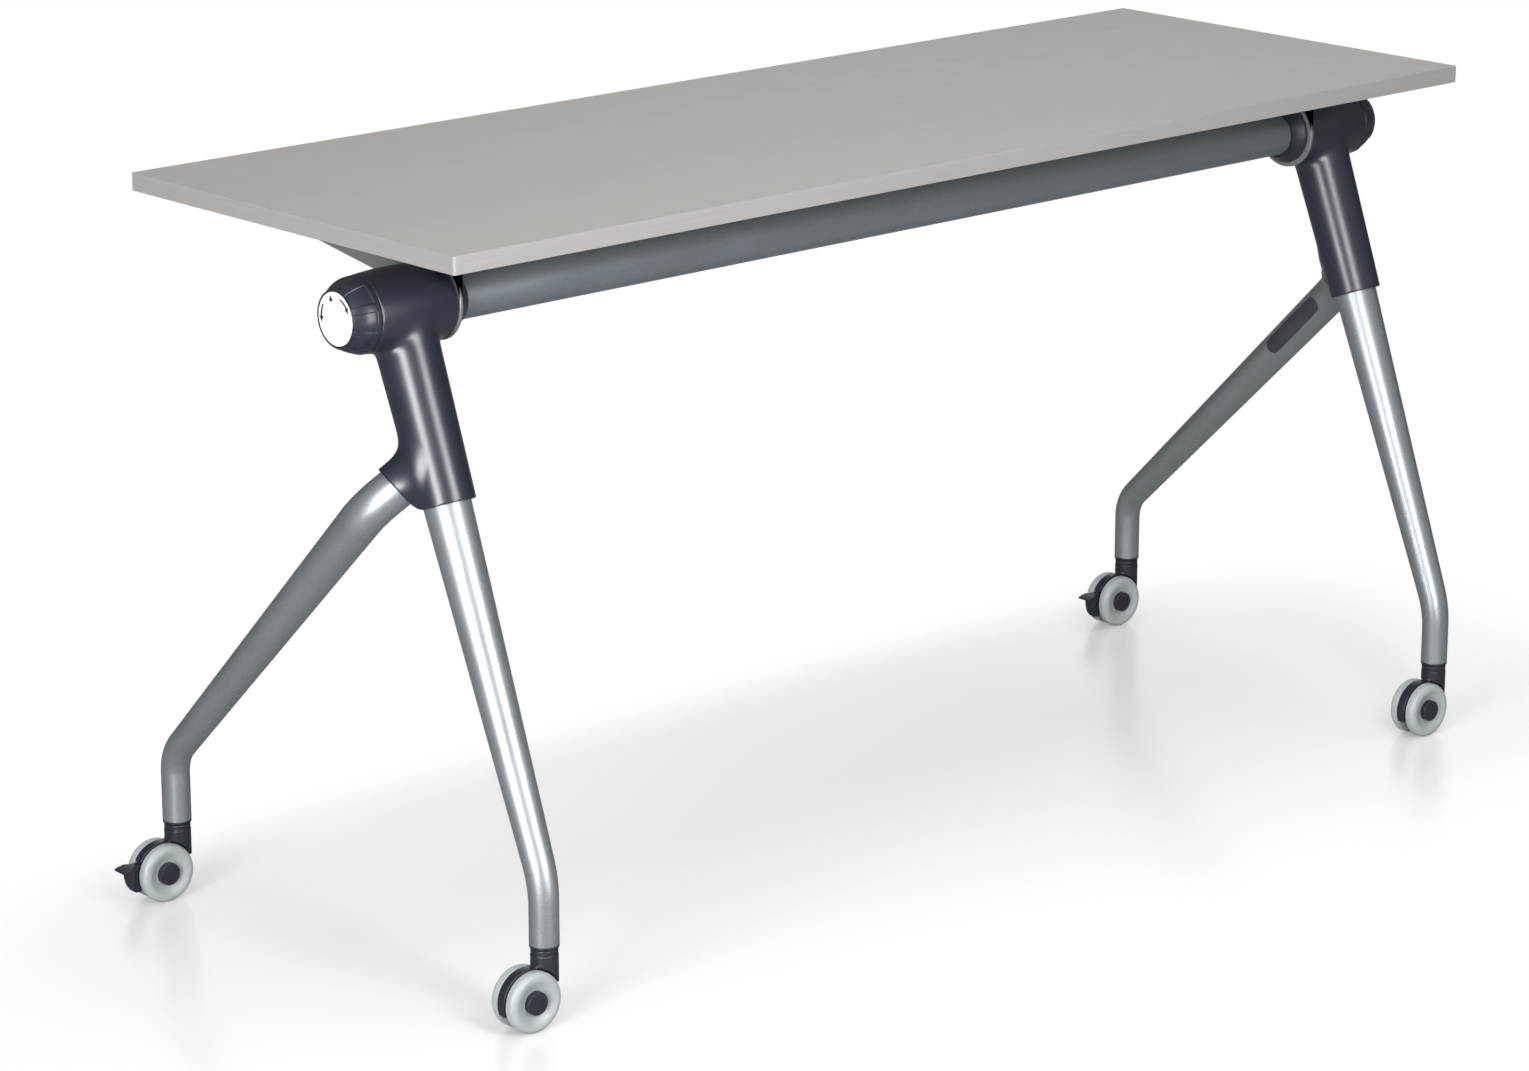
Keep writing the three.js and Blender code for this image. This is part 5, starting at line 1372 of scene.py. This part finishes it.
# %% Lamps and world
LAMPS = {
    "left strip": ((-1800, -720, 700), (0.42, 1.5), 26.0, False),
    "right strip": ((-560, -1930, 800), (0.65, 1.3), 26.0, False),
    "left softbox": ((-3780, -1450, 1150), (1.5, 2.3), 105.0, True),
    "right softbox": ((-560, -1930, 1300), (0.6, 1.6), 23.0, True),
    "overhead": ((500, 0, 3300), (2.6, 2.2), 37.0, True),
}
FRONT, BACKDROP = (-0.6, -0.75, 0.28), (0.66, 0.69, 0.29)
WORLD_SEEN, WORLD_GLOSS, WORLD_DIFFUSE = 1.0, (0.08, 0.5), (0.3, 0.6)
FRONT_SPAN, PATCH_SPAN, PATCH_LEVEL = (-0.4, 1.0), (0.9, 0.97), 0.9
LAMP_TARGET = (0, 0, 400)


def facing(place, target):
    """Axes of a lamp that looks from a place to a target: it shines along its own -Z."""
    back = unit(np.subtract(place, target, dtype=float))
    right = unit(np.cross([0.0, 1.0, 0.0] if abs(back[2]) > 0.9 else [0.0, 0.0, 1.0], back))
    return np.stack([right, np.cross(back, right), back], axis=1)


# The strips only draw streaks on tubes and castings, so the two wide flat faces don't mirror them.
flat_faces = bpy.data.collections.new("out of the strips")
for flat in (floor, bpy.data.objects["panel_board"]):
    flat_faces.objects.link(flat)
for entry in flat_faces.collection_objects:
    entry.light_linking.link_state = "EXCLUDE"

for name, (place, size, power, lights) in LAMPS.items():
    light = bpy.data.lights.new(name, "AREA")
    light.shape, light.size, light.size_y, light.energy = "RECTANGLE", size[0], size[1], power
    lamp = bpy.data.objects.new(name, light)
    lamp.visible_diffuse, lamp.visible_glossy = lights, not lights
    if not lights:
        lamp.light_linking.receiver_collection = flat_faces
    lamp.matrix_world = Matrix(pose_matrix(place, facing(place, LAMP_TARGET)))
    bpy.context.scene.collection.objects.link(lamp)


def white_world():
    """Plain white to the camera; as light and in reflections it fades from the front to the back."""
    world = bpy.data.worlds.new("studio")
    bpy.context.scene.world = world
    world.use_nodes = True
    tree = world.node_tree
    direction = add_node(tree, "ShaderNodeTexCoord").outputs["Generated"]
    ahead, behind = (
        calculated(tree, "DOT_PRODUCT", direction, way, VECTOR_MATH, "Value") for way in (FRONT, BACKDROP)
    )
    diffuse, gloss = (map_range(tree, ahead, FRONT_SPAN, levels) for levels in (WORLD_DIFFUSE, WORLD_GLOSS))
    patch = map_range(tree, behind, PATCH_SPAN, (0.0, PATCH_LEVEL), smooth=True)
    gloss = calculated(tree, "ADD", gloss, patch)
    path = add_node(tree, "ShaderNodeLightPath")
    level = map_range(tree, path.outputs["Is Glossy Ray"], target=(diffuse, gloss))
    level = map_range(tree, path.outputs["Is Camera Ray"], target=(level, WORLD_SEEN))
    background = tree.nodes["Background"]
    background.inputs["Color"].default_value = WHITE
    tree.links.new(level, background.inputs["Strength"])


white_world()
print("lamps:", len(LAMPS))
